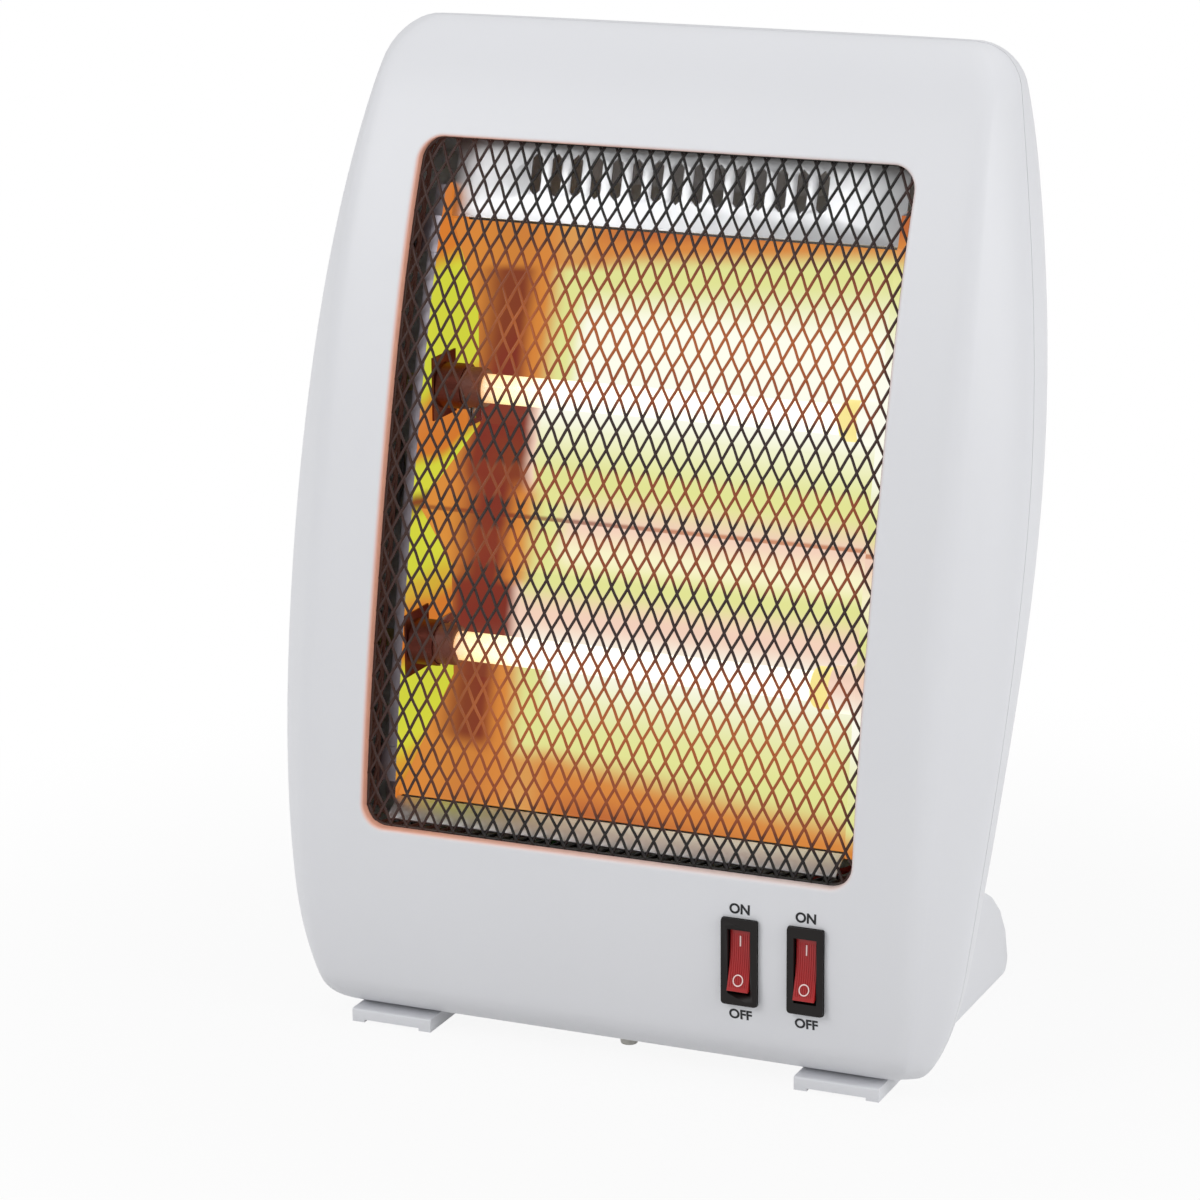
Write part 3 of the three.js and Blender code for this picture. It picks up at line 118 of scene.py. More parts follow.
def drape(name: str, rows: Sequence[Sequence[Place]], ring: bool, capped: bool) -> bpy.types.Object:
    """Lays a grid over rows of points, and closes it into a tube or a closed form.

    Args:
        name: The new object's name.
        rows: Rows of points in millimetres, all of one length.
        ring: True where each row closes on itself.
        capped: True to fill the first and the last row.

    Returns:
        The new mesh object, with its faces outwards.
    """
    deselect()
    wide = len(rows[0]) + (1 if ring else 0)
    bpy.ops.mesh.primitive_grid_add(x_subdivisions=wide - 1, y_subdivisions=len(rows) - 1, size=1.0)
    piece = bpy.context.object
    piece.name = name
    for j, row in enumerate(rows):
        for i in range(wide):
            x, y, z = row[i % len(row)]
            piece.data.vertices[j * wide + i].co = (x * MM, y * MM, z * MM)
    activate(piece)
    bpy.ops.object.mode_set(mode="EDIT")
    bpy.ops.mesh.select_all(action="SELECT")
    bpy.ops.mesh.remove_doubles(threshold=1e-6)
    if capped:
        bpy.ops.mesh.select_all(action="DESELECT")
        bpy.ops.mesh.select_mode(type="EDGE")
        bpy.ops.mesh.select_non_manifold()
        bpy.ops.mesh.edge_face_add()
        bpy.ops.mesh.select_mode(type="VERT")
    bpy.ops.mesh.select_all(action="SELECT")
    bpy.ops.mesh.normals_make_consistent(inside=False)
    bpy.ops.object.mode_set(mode="OBJECT")
    return settle(piece)


def prism(name: str, outline: Sequence[Place], along: Place) -> bpy.types.Object:
    """Fills a flat outline and draws it out.

    Args:
        name: The new object's name.
        outline: The corners in order, in millimetres.
        along: How far and which way it is drawn out, in millimetres.

    Returns:
        The new closed mesh object.
    """
    deselect()
    bpy.ops.mesh.primitive_circle_add(vertices=len(outline), radius=1.0)
    piece = bpy.context.object
    piece.name = name
    for vertex, (x, y, z) in zip(piece.data.vertices, outline):
        vertex.co = (x * MM, y * MM, z * MM)
    bpy.ops.object.mode_set(mode="EDIT")
    bpy.ops.mesh.select_all(action="SELECT")
    bpy.ops.mesh.edge_face_add()
    bpy.ops.mesh.extrude_region_move(TRANSFORM_OT_translate={"value": tuple(c * MM for c in along)})
    bpy.ops.mesh.select_all(action="SELECT")
    bpy.ops.mesh.normals_make_consistent(inside=False)
    bpy.ops.object.mode_set(mode="OBJECT")
    return settle(piece)


def turn(name: str, profile: Sequence[Point], centre: Place, axis: Axis, sides: int = 48) -> bpy.types.Object:
    """Spins a profile about an axis into a closed round piece.

    Args:
        name: The new object's name.
        profile: Points of (radius, distance along the axis), in millimetres, in order.
        centre: Where the axis's zero stands, in millimetres.
        axis: The axis that the piece is turned about.
        sides: Steps round the axis.

    Returns:
        The new mesh object.
    """
    rows = []
    for radius, along in profile:
        row = []
        for i in range(sides):
            a = 2 * math.pi * i / sides
            flat = (radius * math.cos(a), radius * math.sin(a))
            if axis is Axis.X:
                spot = (along, flat[0], flat[1])
            elif axis is Axis.Y:
                spot = (flat[0], along, flat[1])
            else:
                spot = (flat[0], flat[1], along)
            row.append(tuple(c + s for c, s in zip(centre, spot)))
        rows.append(row)
    hollow = profile[0][0] > 0.01 and profile[-1] == profile[0]
    return drape(name, rows, ring=True, capped=not hollow)


def cut(piece: bpy.types.Object, tool: bpy.types.Object, how: str = "DIFFERENCE") -> None:
    """Cuts, joins or trims one solid by another, which is then thrown away.

    Args:
        piece: The solid that stays.
        tool: The solid that shapes it.
        how: DIFFERENCE, UNION or INTERSECT.
    """
    activate(piece)
    step = piece.modifiers.new("cut", "BOOLEAN")
    step.operation = how
    step.solver = "EXACT"
    step.object = tool
    bpy.ops.object.modifier_apply(modifier=step.name)
    bpy.data.objects.remove(tool, do_unlink=True)


def weld(pieces: Sequence[bpy.types.Object], name: str) -> bpy.types.Object:
    """Makes several objects one.

    Args:
        pieces: The objects, of which the first keeps its data.
        name: The joined object's name.

    Returns:
        The joined object.
    """
    deselect()
    for piece in pieces:
        piece.select_set(True)
    bpy.context.view_layer.objects.active = pieces[0]
    if len(pieces) > 1:
        bpy.ops.object.join()
    pieces[0].name = name
    return pieces[0]


def soften(piece: bpy.types.Object, width: float, segments: int = 2, angle: float = 40.0) -> None:
    """Rounds a piece's sharp edges.

    Args:
        piece: The object to bevel.
        width: Width of the rounding in millimetres.
        segments: Steps across it.
        angle: Edges sharper than this many degrees are rounded.
    """
    activate(piece)
    step = piece.modifiers.new("edge", "BEVEL")
    step.width = width * MM
    step.segments = segments
    step.limit_method = "ANGLE"
    step.angle_limit = math.radians(angle)
    step.use_clamp_overlap = True
    step.harden_normals = False
    bpy.ops.object.modifier_apply(modifier=step.name)


def smooth(piece: bpy.types.Object, angle: float = 35.0) -> None:
    """Shades a piece smooth except over its sharp edges.

    Args:
        piece: The object to shade.
        angle: Edges sharper than this many degrees stay sharp.
    """
    activate(piece)
    bpy.ops.object.shade_smooth_by_angle(angle=math.radians(angle))


def copy_of(node: str, name: str) -> bpy.types.Object:
    """Copies a CAD node's mesh and joins its loose triangles.

    Args:
        node: The CAD node's name.
        name: The copy's name.

    Returns:
        The copy, as one merged mesh with its flat faces whole.
    """
    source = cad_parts[node]
    piece = bpy.data.objects.new(name, source.data.copy())
    bpy.context.scene.collection.objects.link(piece)
    piece.data.materials.clear()
    activate(piece)
    bpy.ops.object.mode_set(mode="EDIT")
    bpy.ops.mesh.select_all(action="SELECT")
    bpy.ops.mesh.remove_doubles(threshold=2e-6)
    bpy.ops.mesh.dissolve_limited(angle_limit=math.radians(0.6))
    bpy.ops.object.mode_set(mode="OBJECT")
    return piece


def wires(name: str, paths: Sequence[Sequence[Place]], radius: float, sides: int = 2) -> bpy.types.Object:
    """Draws round wires along paths and makes them one mesh.

    Args:
        name: The new object's name.
        paths: The points of each wire, in millimetres.
        radius: The wire's radius in millimetres.
        sides: Blender's bevel resolution, where 1 gives a six-sided wire.

    Returns:
        The new mesh object.
    """
    curve = bpy.data.curves.new(name, "CURVE")
    curve.dimensions = "3D"
    curve.bevel_depth = radius * MM
    curve.bevel_resolution = sides
    curve.use_fill_caps = True
    for path in paths:
        spline = curve.splines.new("POLY")
        spline.points.add(len(path) - 1)
        for point, (x, y, z) in zip(spline.points, path):
            point.co = (x * MM, y * MM, z * MM, 1.0)
    piece = bpy.data.objects.new(name, curve)
    bpy.context.scene.collection.objects.link(piece)
    activate(piece)
    bpy.ops.object.convert(target="MESH")
    return bpy.context.object


def rounded(half_x: float, low: float, high: float, radius: float, steps: int = 10) -> list[Point]:
    """The corners of an upright rectangle with rounded corners, centred on x = 0.

    Args:
        half_x: Half of its width.
        low: Its lowest z.
        high: Its highest z.
        radius: Its corner radius.
        steps: Steps round each corner.

    Returns:
        Points of (x, z), anticlockwise, with the long sides divided too.
    """
    middles = [
        (half_x - radius, low + radius, -90.0),
        (half_x - radius, high - radius, 0.0),
        (-half_x + radius, high - radius, 90.0),
        (-half_x + radius, low + radius, 180.0),
    ]
    corners: list[Point] = []
    for x, z, start in middles:
        for i in range(steps + 1):
            a = math.radians(start + 90.0 * i / steps)
            corners.append((x + radius * math.cos(a), z + radius * math.sin(a)))
    points: list[Point] = []
    for a, b in zip(corners, corners[1:] + corners[:1]):
        points.append(a)
        length = math.dist(a, b)
        extra = int(length // 7)
        for i in range(1, extra + 1):
            u = i / (extra + 1)
            points.append((a[0] + (b[0] - a[0]) * u, a[1] + (b[1] - a[1]) * u))
    return points


# ------------------------------------------------------------------------------ shader tools
def paint(red: int, green: int, blue: int) -> Colour:
    """A display colour from 0 to 255 as the linear colour that renders so."""

    def linear(value: int) -> float:
        """One channel of the colour."""
        c = value / 255.0
        return c / 12.92 if c <= 0.04045 else ((c + 0.055) / 1.055) ** 2.4

    return (linear(red), linear(green), linear(blue))


@dataclass
class Graph:
    """A short hand for building a node tree."""

    tree: bpy.types.NodeTree

    def add(self, kind: str, **values: object) -> bpy.types.Node:
        """Adds a node and sets its properties.

        Args:
            kind: The node's Blender type.
            **values: Properties by name.

        Returns:
            The new node.
        """
        node = self.tree.nodes.new(kind)
        for key, value in values.items():
            setattr(node, key, value)
        return node

    def join(self, out: bpy.types.NodeSocket, into: bpy.types.NodeSocket) -> None:
        """Links one socket to another."""
        self.tree.links.new(out, into)

    def sum(self, how: str, a: object, b: object = 0.0, clamp: bool = False) -> bpy.types.NodeSocket:
        """Adds a Math node.

        Args:
            how: The operation.
            a: A socket or a number.
            b: A socket or a number.
            clamp: True to keep the result from 0 to 1.

        Returns:
            The result's socket.
        """
        node = self.add("ShaderNodeMath", operation=how, use_clamp=clamp)
        for socket, value in zip(node.inputs, (a, b)):
            if isinstance(value, bpy.types.NodeSocket):
                self.join(value, socket)
            else:
                socket.default_value = value
        return node.outputs[0]

    def span(self, value: bpy.types.NodeSocket, low: float, high: float) -> bpy.types.NodeSocket:
        """Maps low to 0 and high to 1, smoothly.

        Args:
            value: The socket to map.
            low: What becomes 0.
            high: What becomes 1.

        Returns:
            The result's socket.
        """
        node = self.add("ShaderNodeMapRange", interpolation_type="SMOOTHSTEP", clamp=True)
        self.join(value, node.inputs["Value"])
        node.inputs["From Min"].default_value = low
        node.inputs["From Max"].default_value = high
        return node.outputs["Result"]

    def ramp(self, value: bpy.types.NodeSocket, stops: Stops) -> bpy.types.NodeSocket:
        """Adds a colour ramp.

        Args:
            value: The socket that drives it.
            stops: Pairs of place and linear colour.

        Returns:
            The colour's socket.
        """
        node = self.add("ShaderNodeValToRGB")
        bar = node.color_ramp
        bar.interpolation = "EASE"
        while len(bar.elements) < len(stops):
            bar.elements.new(0.5)
        for element, (place, colour) in zip(bar.elements, stops):
            element.position = place
            element.color = (*colour, 1.0)
        self.join(value, node.inputs["Fac"])
        return node.outputs["Color"]

    def bands(
        self, value: bpy.types.NodeSocket, low: float, high: float, stops: Stops
    ) -> bpy.types.NodeSocket:
        """Adds a colour ramp whose stops are in the value's own units.

        Args:
            value: The socket that drives it.
            low: The value where the ramp starts.
            high: The value where it ends.
            stops: Pairs of value and linear colour.

        Returns:
            The colour's socket.
        """
        length = high - low
        share = self.sum("DIVIDE", self.sum("SUBTRACT", value, low), length, clamp=True)
        return self.ramp(share, [((at - low) / length, colour) for at, colour in stops])

    def blend(self, share: object, a: object, b: object, how: str = "MIX") -> bpy.types.NodeSocket:
        """Mixes two colours.

        Args:
            share: A socket or a number from 0 to 1.
            a: The first colour, as a socket or a linear colour.
            b: The second colour.
            how: The blend type.

        Returns:
            The colour's socket.
        """
        node = self.add("ShaderNodeMix", data_type="RGBA", blend_type=how, clamp_factor=True)
        for socket, value in ((node.inputs[0], share), (node.inputs[6], a), (node.inputs[7], b)):
            if isinstance(value, bpy.types.NodeSocket):
                self.join(value, socket)
            elif isinstance(value, tuple):
                socket.default_value = (*value, 1.0)
            else:
                socket.default_value = value
        return node.outputs[2]

    def noise(self, scale: float, detail: float = 3.0, stretch: Place = (1, 1, 1)) -> bpy.types.NodeSocket:
        """Adds noise on Object coordinates.

        Args:
            scale: Its scale, per metre.
            detail: Its octaves.
            stretch: A factor for each axis.

        Returns:
            The noise's value socket.
        """
        where = self.add("ShaderNodeTexCoord")
        mapping = self.add("ShaderNodeMapping")
        mapping.inputs["Scale"].default_value = stretch
        self.join(where.outputs["Object"], mapping.inputs["Vector"])
        node = self.add("ShaderNodeTexNoise")
        node.inputs["Scale"].default_value = scale
        node.inputs["Detail"].default_value = detail
        self.join(mapping.outputs["Vector"], node.inputs["Vector"])
        return node.outputs["Fac"]

    def place(self) -> tuple[bpy.types.NodeSocket, bpy.types.NodeSocket, bpy.types.NodeSocket]:
        """The x, y and z sockets of Object coordinates, in millimetres."""
        where = self.add("ShaderNodeTexCoord")
        split = self.add("ShaderNodeSeparateXYZ")
        self.join(where.outputs["Object"], split.inputs[0])
        return tuple(self.sum("MULTIPLY", split.outputs[i], 1000.0) for i in range(3))


def new_group(name: str, takes: Sequence[tuple[str, str, object]], gives: Sequence[tuple[str, str]]) -> Graph:
    """Starts a shader node group.

    Args:
        name: The group's name.
        takes: Its inputs, as name, socket type and default.
        gives: Its outputs, as name and socket type.

    Returns:
        The group's graph, which holds its input and output nodes.
    """
    tree = bpy.data.node_groups.new(name, "ShaderNodeTree")
    for title, kind, default in takes:
        socket = tree.interface.new_socket(title, in_out="INPUT", socket_type=kind)
        socket.default_value = default
    for title, kind in gives:
        tree.interface.new_socket(title, in_out="OUTPUT", socket_type=kind)
    graph = Graph(tree)
    graph.add("NodeGroupInput", name="in")
    graph.add("NodeGroupOutput", name="out")
    return graph


def moulded_grain() -> bpy.types.NodeTree:
    """The fine spark-eroded grain and faint flow mottle of moulded plastic.

    Returns:
        The group, which gives a colour, a roughness and a height.
    """
    g = new_group(
        "moulded grain",
        [
            ("Colour", "NodeSocketColor", (0.8, 0.8, 0.8, 1.0)),
            ("Mottle", "NodeSocketFloat", 0.04),
            ("Roughness", "NodeSocketFloat", 0.45),
        ],
        [("Colour", "NodeSocketColor"), ("Roughness", "NodeSocketFloat"), ("Height", "NodeSocketFloat")],
    )
    into, out = g.tree.nodes["in"], g.tree.nodes["out"]
    flow = g.sum("SUBTRACT", g.noise(14.0, 4.0), 0.5)
    shade = g.sum("ADD", g.sum("MULTIPLY", flow, into.outputs["Mottle"]), 1.0)
    tint = g.add("ShaderNodeVectorMath", operation="SCALE")
    g.join(into.outputs["Colour"], tint.inputs[0])
    g.join(shade, tint.inputs["Scale"])
    g.join(tint.outputs[0], out.inputs["Colour"])
    grain = g.noise(2600.0, 2.0)
    rough = g.sum("MULTIPLY", g.sum("SUBTRACT", grain, 0.5), 0.12)
    g.join(g.sum("ADD", into.outputs["Roughness"], rough, clamp=True), out.inputs["Roughness"])
    g.join(grain, out.inputs["Height"])
    return g.tree


def rolled_metal() -> bpy.types.NodeTree:
    """Rolling streaks and handling marks on bright sheet.

    Returns:
        The group, which gives a colour, a roughness and a height.
    """
    g = new_group(
        "rolled metal",
        [
            ("Colour", "NodeSocketColor", (0.8, 0.8, 0.8, 1.0)),
            ("Roughness", "NodeSocketFloat", 0.25),
            ("Streak", "NodeSocketFloat", 0.12),
        ],
        [("Colour", "NodeSocketColor"), ("Roughness", "NodeSocketFloat"), ("Height", "NodeSocketFloat")],
    )
    into, out = g.tree.nodes["in"], g.tree.nodes["out"]
    streak = g.noise(900.0, 3.0, (0.02, 1.0, 1.0))
    smear = g.noise(60.0, 4.0)
    mixed = g.sum("ADD", g.sum("MULTIPLY", streak, 0.6), g.sum("MULTIPLY", smear, 0.4))
    swing = g.sum("MULTIPLY", g.sum("SUBTRACT", mixed, 0.5), into.outputs["Streak"])
    tint = g.add("ShaderNodeVectorMath", operation="SCALE")
    g.join(into.outputs["Colour"], tint.inputs[0])
    g.join(g.sum("ADD", swing, 1.0), tint.inputs["Scale"])
    g.join(tint.outputs[0], out.inputs["Colour"])
    g.join(g.sum("ADD", into.outputs["Roughness"], swing, clamp=True), out.inputs["Roughness"])
    g.join(streak, out.inputs["Height"])
    return g.tree


def heat_glow() -> bpy.types.NodeTree:
    """The elements' light painted on the folded reflector by place, with painted shade beside the tubes'
    unlit ends.

    Returns:
        The group, which gives the glow's colour.
    """
    g = new_group("heat glow", [("Share", "NodeSocketFloat", 1.0)], [("Colour", "NodeSocketColor")])
    into, out = g.tree.nodes["in"], g.tree.nodes["out"]
    x, y, z = g.place()
    # Up the liner: painted light, where each element lights its own trough and the ridge between them is
    # painted darker.
    white, cream, lime = paint(250, 250, 235), paint(245, 240, 200), paint(222, 224, 146)
    rose, amber = paint(240, 205, 185), paint(212, 132, 60)
    ember, shade_brown = paint(185, 100, 50), paint(125, 50, 40)
    heights = [
        (82, ember), (89, amber), (98, lime), (124, white), (138, rose), (151, lime),
        (164, cream), (178, rose), (187, lime), (206, white), (235, white), (256, lime),
    ]  # fmt: skip
    drift = g.sum("MULTIPLY", g.sum("SUBTRACT", g.noise(16.0, 3.0, (1.0, 1.0, 0.4)), 0.5), 3.0)
    top = g.sum("MULTIPLY", g.span(z, 235.0, 262.0), -0.09)
    foot = g.sum("MULTIPLY", g.span(z, 108.0, 92.0), 0.07)
    slant = g.sum("MULTIPLY", x, g.sum("ADD", top, foot))
    level = g.sum("ADD", g.sum("ADD", z, drift), slant)
    lit = g.bands(level, 80.0, 275.0, heights)
    rim = g.bands(level, 255.0, 275.0, [(259, lime), (268, amber), (274, ember)])
    lit = g.blend(g.span(level, 256.0, 261.0), lit, rim)
    # Along the liner: a band of painted shade behind the unlit end of each tube, which ends sharply level
    # with the tube and passes through orange and lime above and below it.
    sway = g.sum("MULTIPLY", g.sum("SUBTRACT", g.noise(40.0, 2.0, (0.2, 1.0, 1.0)), 0.5), 4.0)
    slide = g.sum("ADD", g.sum("MULTIPLY", y, 0.44), g.sum("MULTIPLY", g.sum("SUBTRACT", 215.0, z), 0.12))
    along = g.sum("ADD", g.sum("ADD", x, slide), sway)
    # The dark brown stops are painted shade.
    shade_off_tube_stops = [(-82, amber), (-67, shade_brown), (-62, shade_brown), (-54, amber), (-44, lime)]
    shade_off_tube = g.bands(along, -84.0, -34.0, shade_off_tube_stops)
    hot = g.bands(along, -84.0, -34.0, [(-82, amber), (-72, shade_brown), (-56, shade_brown), (-50, rose)])
    shade_off_tube = g.blend(g.span(along, -43.0, -34.0), shade_off_tube, lit)
    hot = g.blend(g.span(along, -51.5, -48.5), hot, lit)
    upper = g.sum("MULTIPLY", g.span(z, 183.0, 188.0), g.span(z, 216.0, 210.0))
    lower = g.sum("MULTIPLY", g.span(z, 120.0, 126.0), g.span(z, 151.0, 146.0))
    colour = g.blend(g.sum("ADD", upper, lower, clamp=True), shade_off_tube, hot)
    # The first and last folds are painted orange on the left, and the crease between the troughs is a thin
    # line of painted shade.
    fold = g.sum("MAXIMUM", g.span(level, 97.0, 90.0), g.span(level, 259.0, 264.0))
    fold = g.sum("MULTIPLY", fold, g.span(along, -18.0, -40.0))
    colour = g.blend(g.sum("MULTIPLY", fold, 0.85), colour, amber)
    crease = g.sum("ABSOLUTE", g.sum("SUBTRACT", z, 179.2))
    crease = g.sum("MULTIPLY", g.span(crease, 1.1, 0.4), 0.75)
    colour = g.blend(crease, colour, g.blend(g.span(along, -40.0, 20.0), shade_brown, ember))
    g.join(g.blend(into.outputs["Share"], (0.0, 0.0, 0.0), colour), out.inputs["Colour"])
    return g.tree


class Shared:
    """The shader groups that several finishes place."""

    grain: bpy.types.NodeTree
    metal: bpy.types.NodeTree
    glow: bpy.types.NodeTree

    @classmethod
    def build(cls) -> None:
        """Makes each group once."""
        cls.grain = moulded_grain()
        cls.metal = rolled_metal()
        cls.glow = heat_glow()


def start_material(name: str) -> tuple[bpy.types.Material, Graph, bpy.types.Node]:
    """Makes an empty material with one shader.

    Args:
        name: The material's name.

    Returns:
        The material, its graph and its Principled shader.
    """
    material = bpy.data.materials.new(name)
    material.use_nodes = True
    material.node_tree.nodes.clear()
    g = Graph(material.node_tree)
    shader = g.add("ShaderNodeBsdfPrincipled")
    end = g.add("ShaderNodeOutputMaterial")
    g.join(shader.outputs[0], end.inputs["Surface"])
    return material, g, shader


@dataclass(frozen=True)
class Moulding:
    """A moulded plastic."""

    name: str
    colour: Colour
    roughness: float = 0.45
    mottle: float = 0.04
    grain: float = 0.02
    coat: float = 0.0
    shine: float = 0.5

    def material(self) -> bpy.types.Material:
        """Builds the plastic's material."""
        material, g, shader = start_material(self.name)
        group = g.add("ShaderNodeGroup", node_tree=Shared.grain)
        group.inputs["Colour"].default_value = (*self.colour, 1.0)
        group.inputs["Mottle"].default_value = self.mottle
        group.inputs["Roughness"].default_value = self.roughness
        g.join(group.outputs["Colour"], shader.inputs["Base Color"])
        g.join(group.outputs["Roughness"], shader.inputs["Roughness"])
        bump = g.add("ShaderNodeBump")
        bump.inputs["Strength"].default_value = self.grain
        bump.inputs["Distance"].default_value = 0.0004
        g.join(group.outputs["Height"], bump.inputs["Height"])
        g.join(bump.outputs["Normal"], shader.inputs["Normal"])
        shader.inputs["Specular IOR Level"].default_value = self.shine
        shader.inputs["Coat Weight"].default_value = self.coat
        shader.inputs["Coat Roughness"].default_value = 0.12
        return material


@dataclass(frozen=True)
class Metal:
    """A bare, plated or polished metal."""

    name: str
    colour: Colour
    roughness: float = 0.25
    streak: float = 0.15
    bump: float = 0.05

    def material(self) -> bpy.types.Material:
        """Builds the metal's material."""
        material, g, shader = start_material(self.name)
        group = g.add("ShaderNodeGroup", node_tree=Shared.metal)
        group.inputs["Colour"].default_value = (*self.colour, 1.0)
        group.inputs["Roughness"].default_value = self.roughness
        group.inputs["Streak"].default_value = self.streak
        g.join(group.outputs["Colour"], shader.inputs["Base Color"])
        g.join(group.outputs["Roughness"], shader.inputs["Roughness"])
        shader.inputs["Metallic"].default_value = 1.0
        bump = g.add("ShaderNodeBump")
        bump.inputs["Strength"].default_value = self.bump
        bump.inputs["Distance"].default_value = 0.0002
        g.join(group.outputs["Height"], bump.inputs["Height"])
        g.join(bump.outputs["Normal"], shader.inputs["Normal"])
        return material


@dataclass(frozen=True)
class GlowPaintedSheet:
    """Bright sheet with the elements' light painted on it as emission."""

    name: str
    colour: Colour
    roughness: float = 0.3
    plate: bool = False

    def material(self) -> bpy.types.Material:
        """Builds the sheet's material."""
        material, g, shader = start_material(self.name)
        group = g.add("ShaderNodeGroup", node_tree=Shared.metal)
        group.inputs["Colour"].default_value = (*self.colour, 1.0)
        group.inputs["Roughness"].default_value = self.roughness
        g.join(group.outputs["Colour"], shader.inputs["Base Color"])
        g.join(group.outputs["Roughness"], shader.inputs["Roughness"])
        shader.inputs["Metallic"].default_value = 1.0
        if self.plate:
            # Painted light: bands of the elements' glow up the end plate, with a line of painted shade at the
            # fold, z 179.
            _, _, z = g.place()
            lime, orange = paint(203, 209, 62), paint(205, 118, 46)
            gold, straw, fold = paint(206, 150, 52), paint(206, 170, 56), paint(120, 60, 36)
            bands = [
                (82, orange), (92, gold), (102, lime), (122, lime), (130, orange), (142, orange),
                (150, straw), (158, lime), (172, lime), (179, fold), (184, lime), (192, lime),
                (198, orange), (212, orange), (222, lime), (256, lime), (266, orange), (282, orange),
            ]  # fmt: skip
            wave = g.sum("MULTIPLY", g.sum("SUBTRACT", g.noise(26.0, 3.0), 0.5), 14.0)
            lit = g.bands(g.sum("ADD", z, wave), 80.0, 286.0, bands)
            g.join(lit, shader.inputs["Emission Color"])
        else:
            # Otherwise the heat glow group paints the elements' light on the sheet.
            glow = g.add("ShaderNodeGroup", node_tree=Shared.glow)
            g.join(glow.outputs["Colour"], shader.inputs["Emission Color"])
        shader.inputs["Emission Strength"].default_value = 1.0
        bump = g.add("ShaderNodeBump")
        bump.inputs["Strength"].default_value = 0.05
        bump.inputs["Distance"].default_value = 0.0002
        g.join(group.outputs["Height"], bump.inputs["Height"])
        g.join(bump.outputs["Normal"], shader.inputs["Normal"])
        return material


@dataclass(frozen=True)
class Ceramic:
    """Cast steatite, a little scorched, with the tubes' light painted on the right-hand caps."""

    name: str
    colour: Colour

    def material(self) -> bpy.types.Material:
        """Builds the ceramic's material."""
        material, g, shader = start_material(self.name)
        specks = g.noise(1500.0, 3.0)
        scorch = g.span(g.noise(90.0, 4.0), 0.42, 0.75)
        tint = g.blend(g.sum("MULTIPLY", scorch, 0.5), self.colour, paint(150, 112, 84))
        g.join(tint, shader.inputs["Base Color"])
        # Painted light: the right-hand caps glow straw with the tubes' light, and the left ones get only a
        # faint painted brown glow.
        x, _, _ = g.place()
        hot = g.blend(g.noise(60.0, 2.0), paint(226, 214, 110), paint(246, 238, 170))
        g.join(g.blend(g.span(x, -20.0, 20.0), paint(40, 16, 10), hot), shader.inputs["Emission Color"])
        shader.inputs["Emission Strength"].default_value = 1.0
        shader.inputs["Roughness"].default_value = 0.55
        bump = g.add("ShaderNodeBump")
        bump.inputs["Strength"].default_value = 0.15
        bump.inputs["Distance"].default_value = 0.0003
        g.join(specks, bump.inputs["Height"])
        g.join(bump.outputs["Normal"], shader.inputs["Normal"])
        return material


@dataclass(frozen=True)
class GlowingTube:
    """Quartz over a lit coil: white-hot along its length and cooler at its ends."""

    name: str
    strength: float = 1.0

    def material(self) -> bpy.types.Material:
        """Builds the lit quartz's material."""
        material, g, shader = start_material(self.name)
        x, _, _ = g.place()
        heat = g.sum("MULTIPLY", g.span(x, -68.0, -34.0), g.span(x, 70.0, 62.0))
        ripple = g.sum("MULTIPLY", g.sum("SUBTRACT", g.noise(500.0, 2.0, (1.0, 0.1, 0.1)), 0.5), 0.12)
        level = g.sum("ADD", heat, ripple, clamp=True)
        colour = g.ramp(
            level,
            [(0.0, paint(222, 170, 112)), (0.25, paint(238, 222, 152)), (0.6, paint(250, 240, 190)),
             (1.0, paint(255, 253, 240))],
        )  # fmt: skip
        g.join(colour, shader.inputs["Emission Color"])
        shader.inputs["Emission Strength"].default_value = self.strength
        shader.inputs["Base Color"].default_value = (*paint(250, 240, 225), 1.0)
        shader.inputs["Roughness"].default_value = 0.12
        return material


@dataclass(frozen=True)
class HotWire:
    """Resistance wire at its working heat."""

    name: str

    def material(self) -> bpy.types.Material:
        """Builds the wire's material."""
        material, g, shader = start_material(self.name)
        scale = g.noise(1800.0, 3.0)
        colour = g.ramp(scale, [(0.3, paint(255, 150, 60)), (0.7, paint(255, 226, 150))])
        g.join(colour, shader.inputs["Emission Color"])
        shader.inputs["Emission Strength"].default_value = 1.0
        shader.inputs["Base Color"].default_value = (*paint(120, 92, 70), 1.0)
        shader.inputs["Metallic"].default_value = 0.6
        shader.inputs["Roughness"].default_value = 0.5
        return material


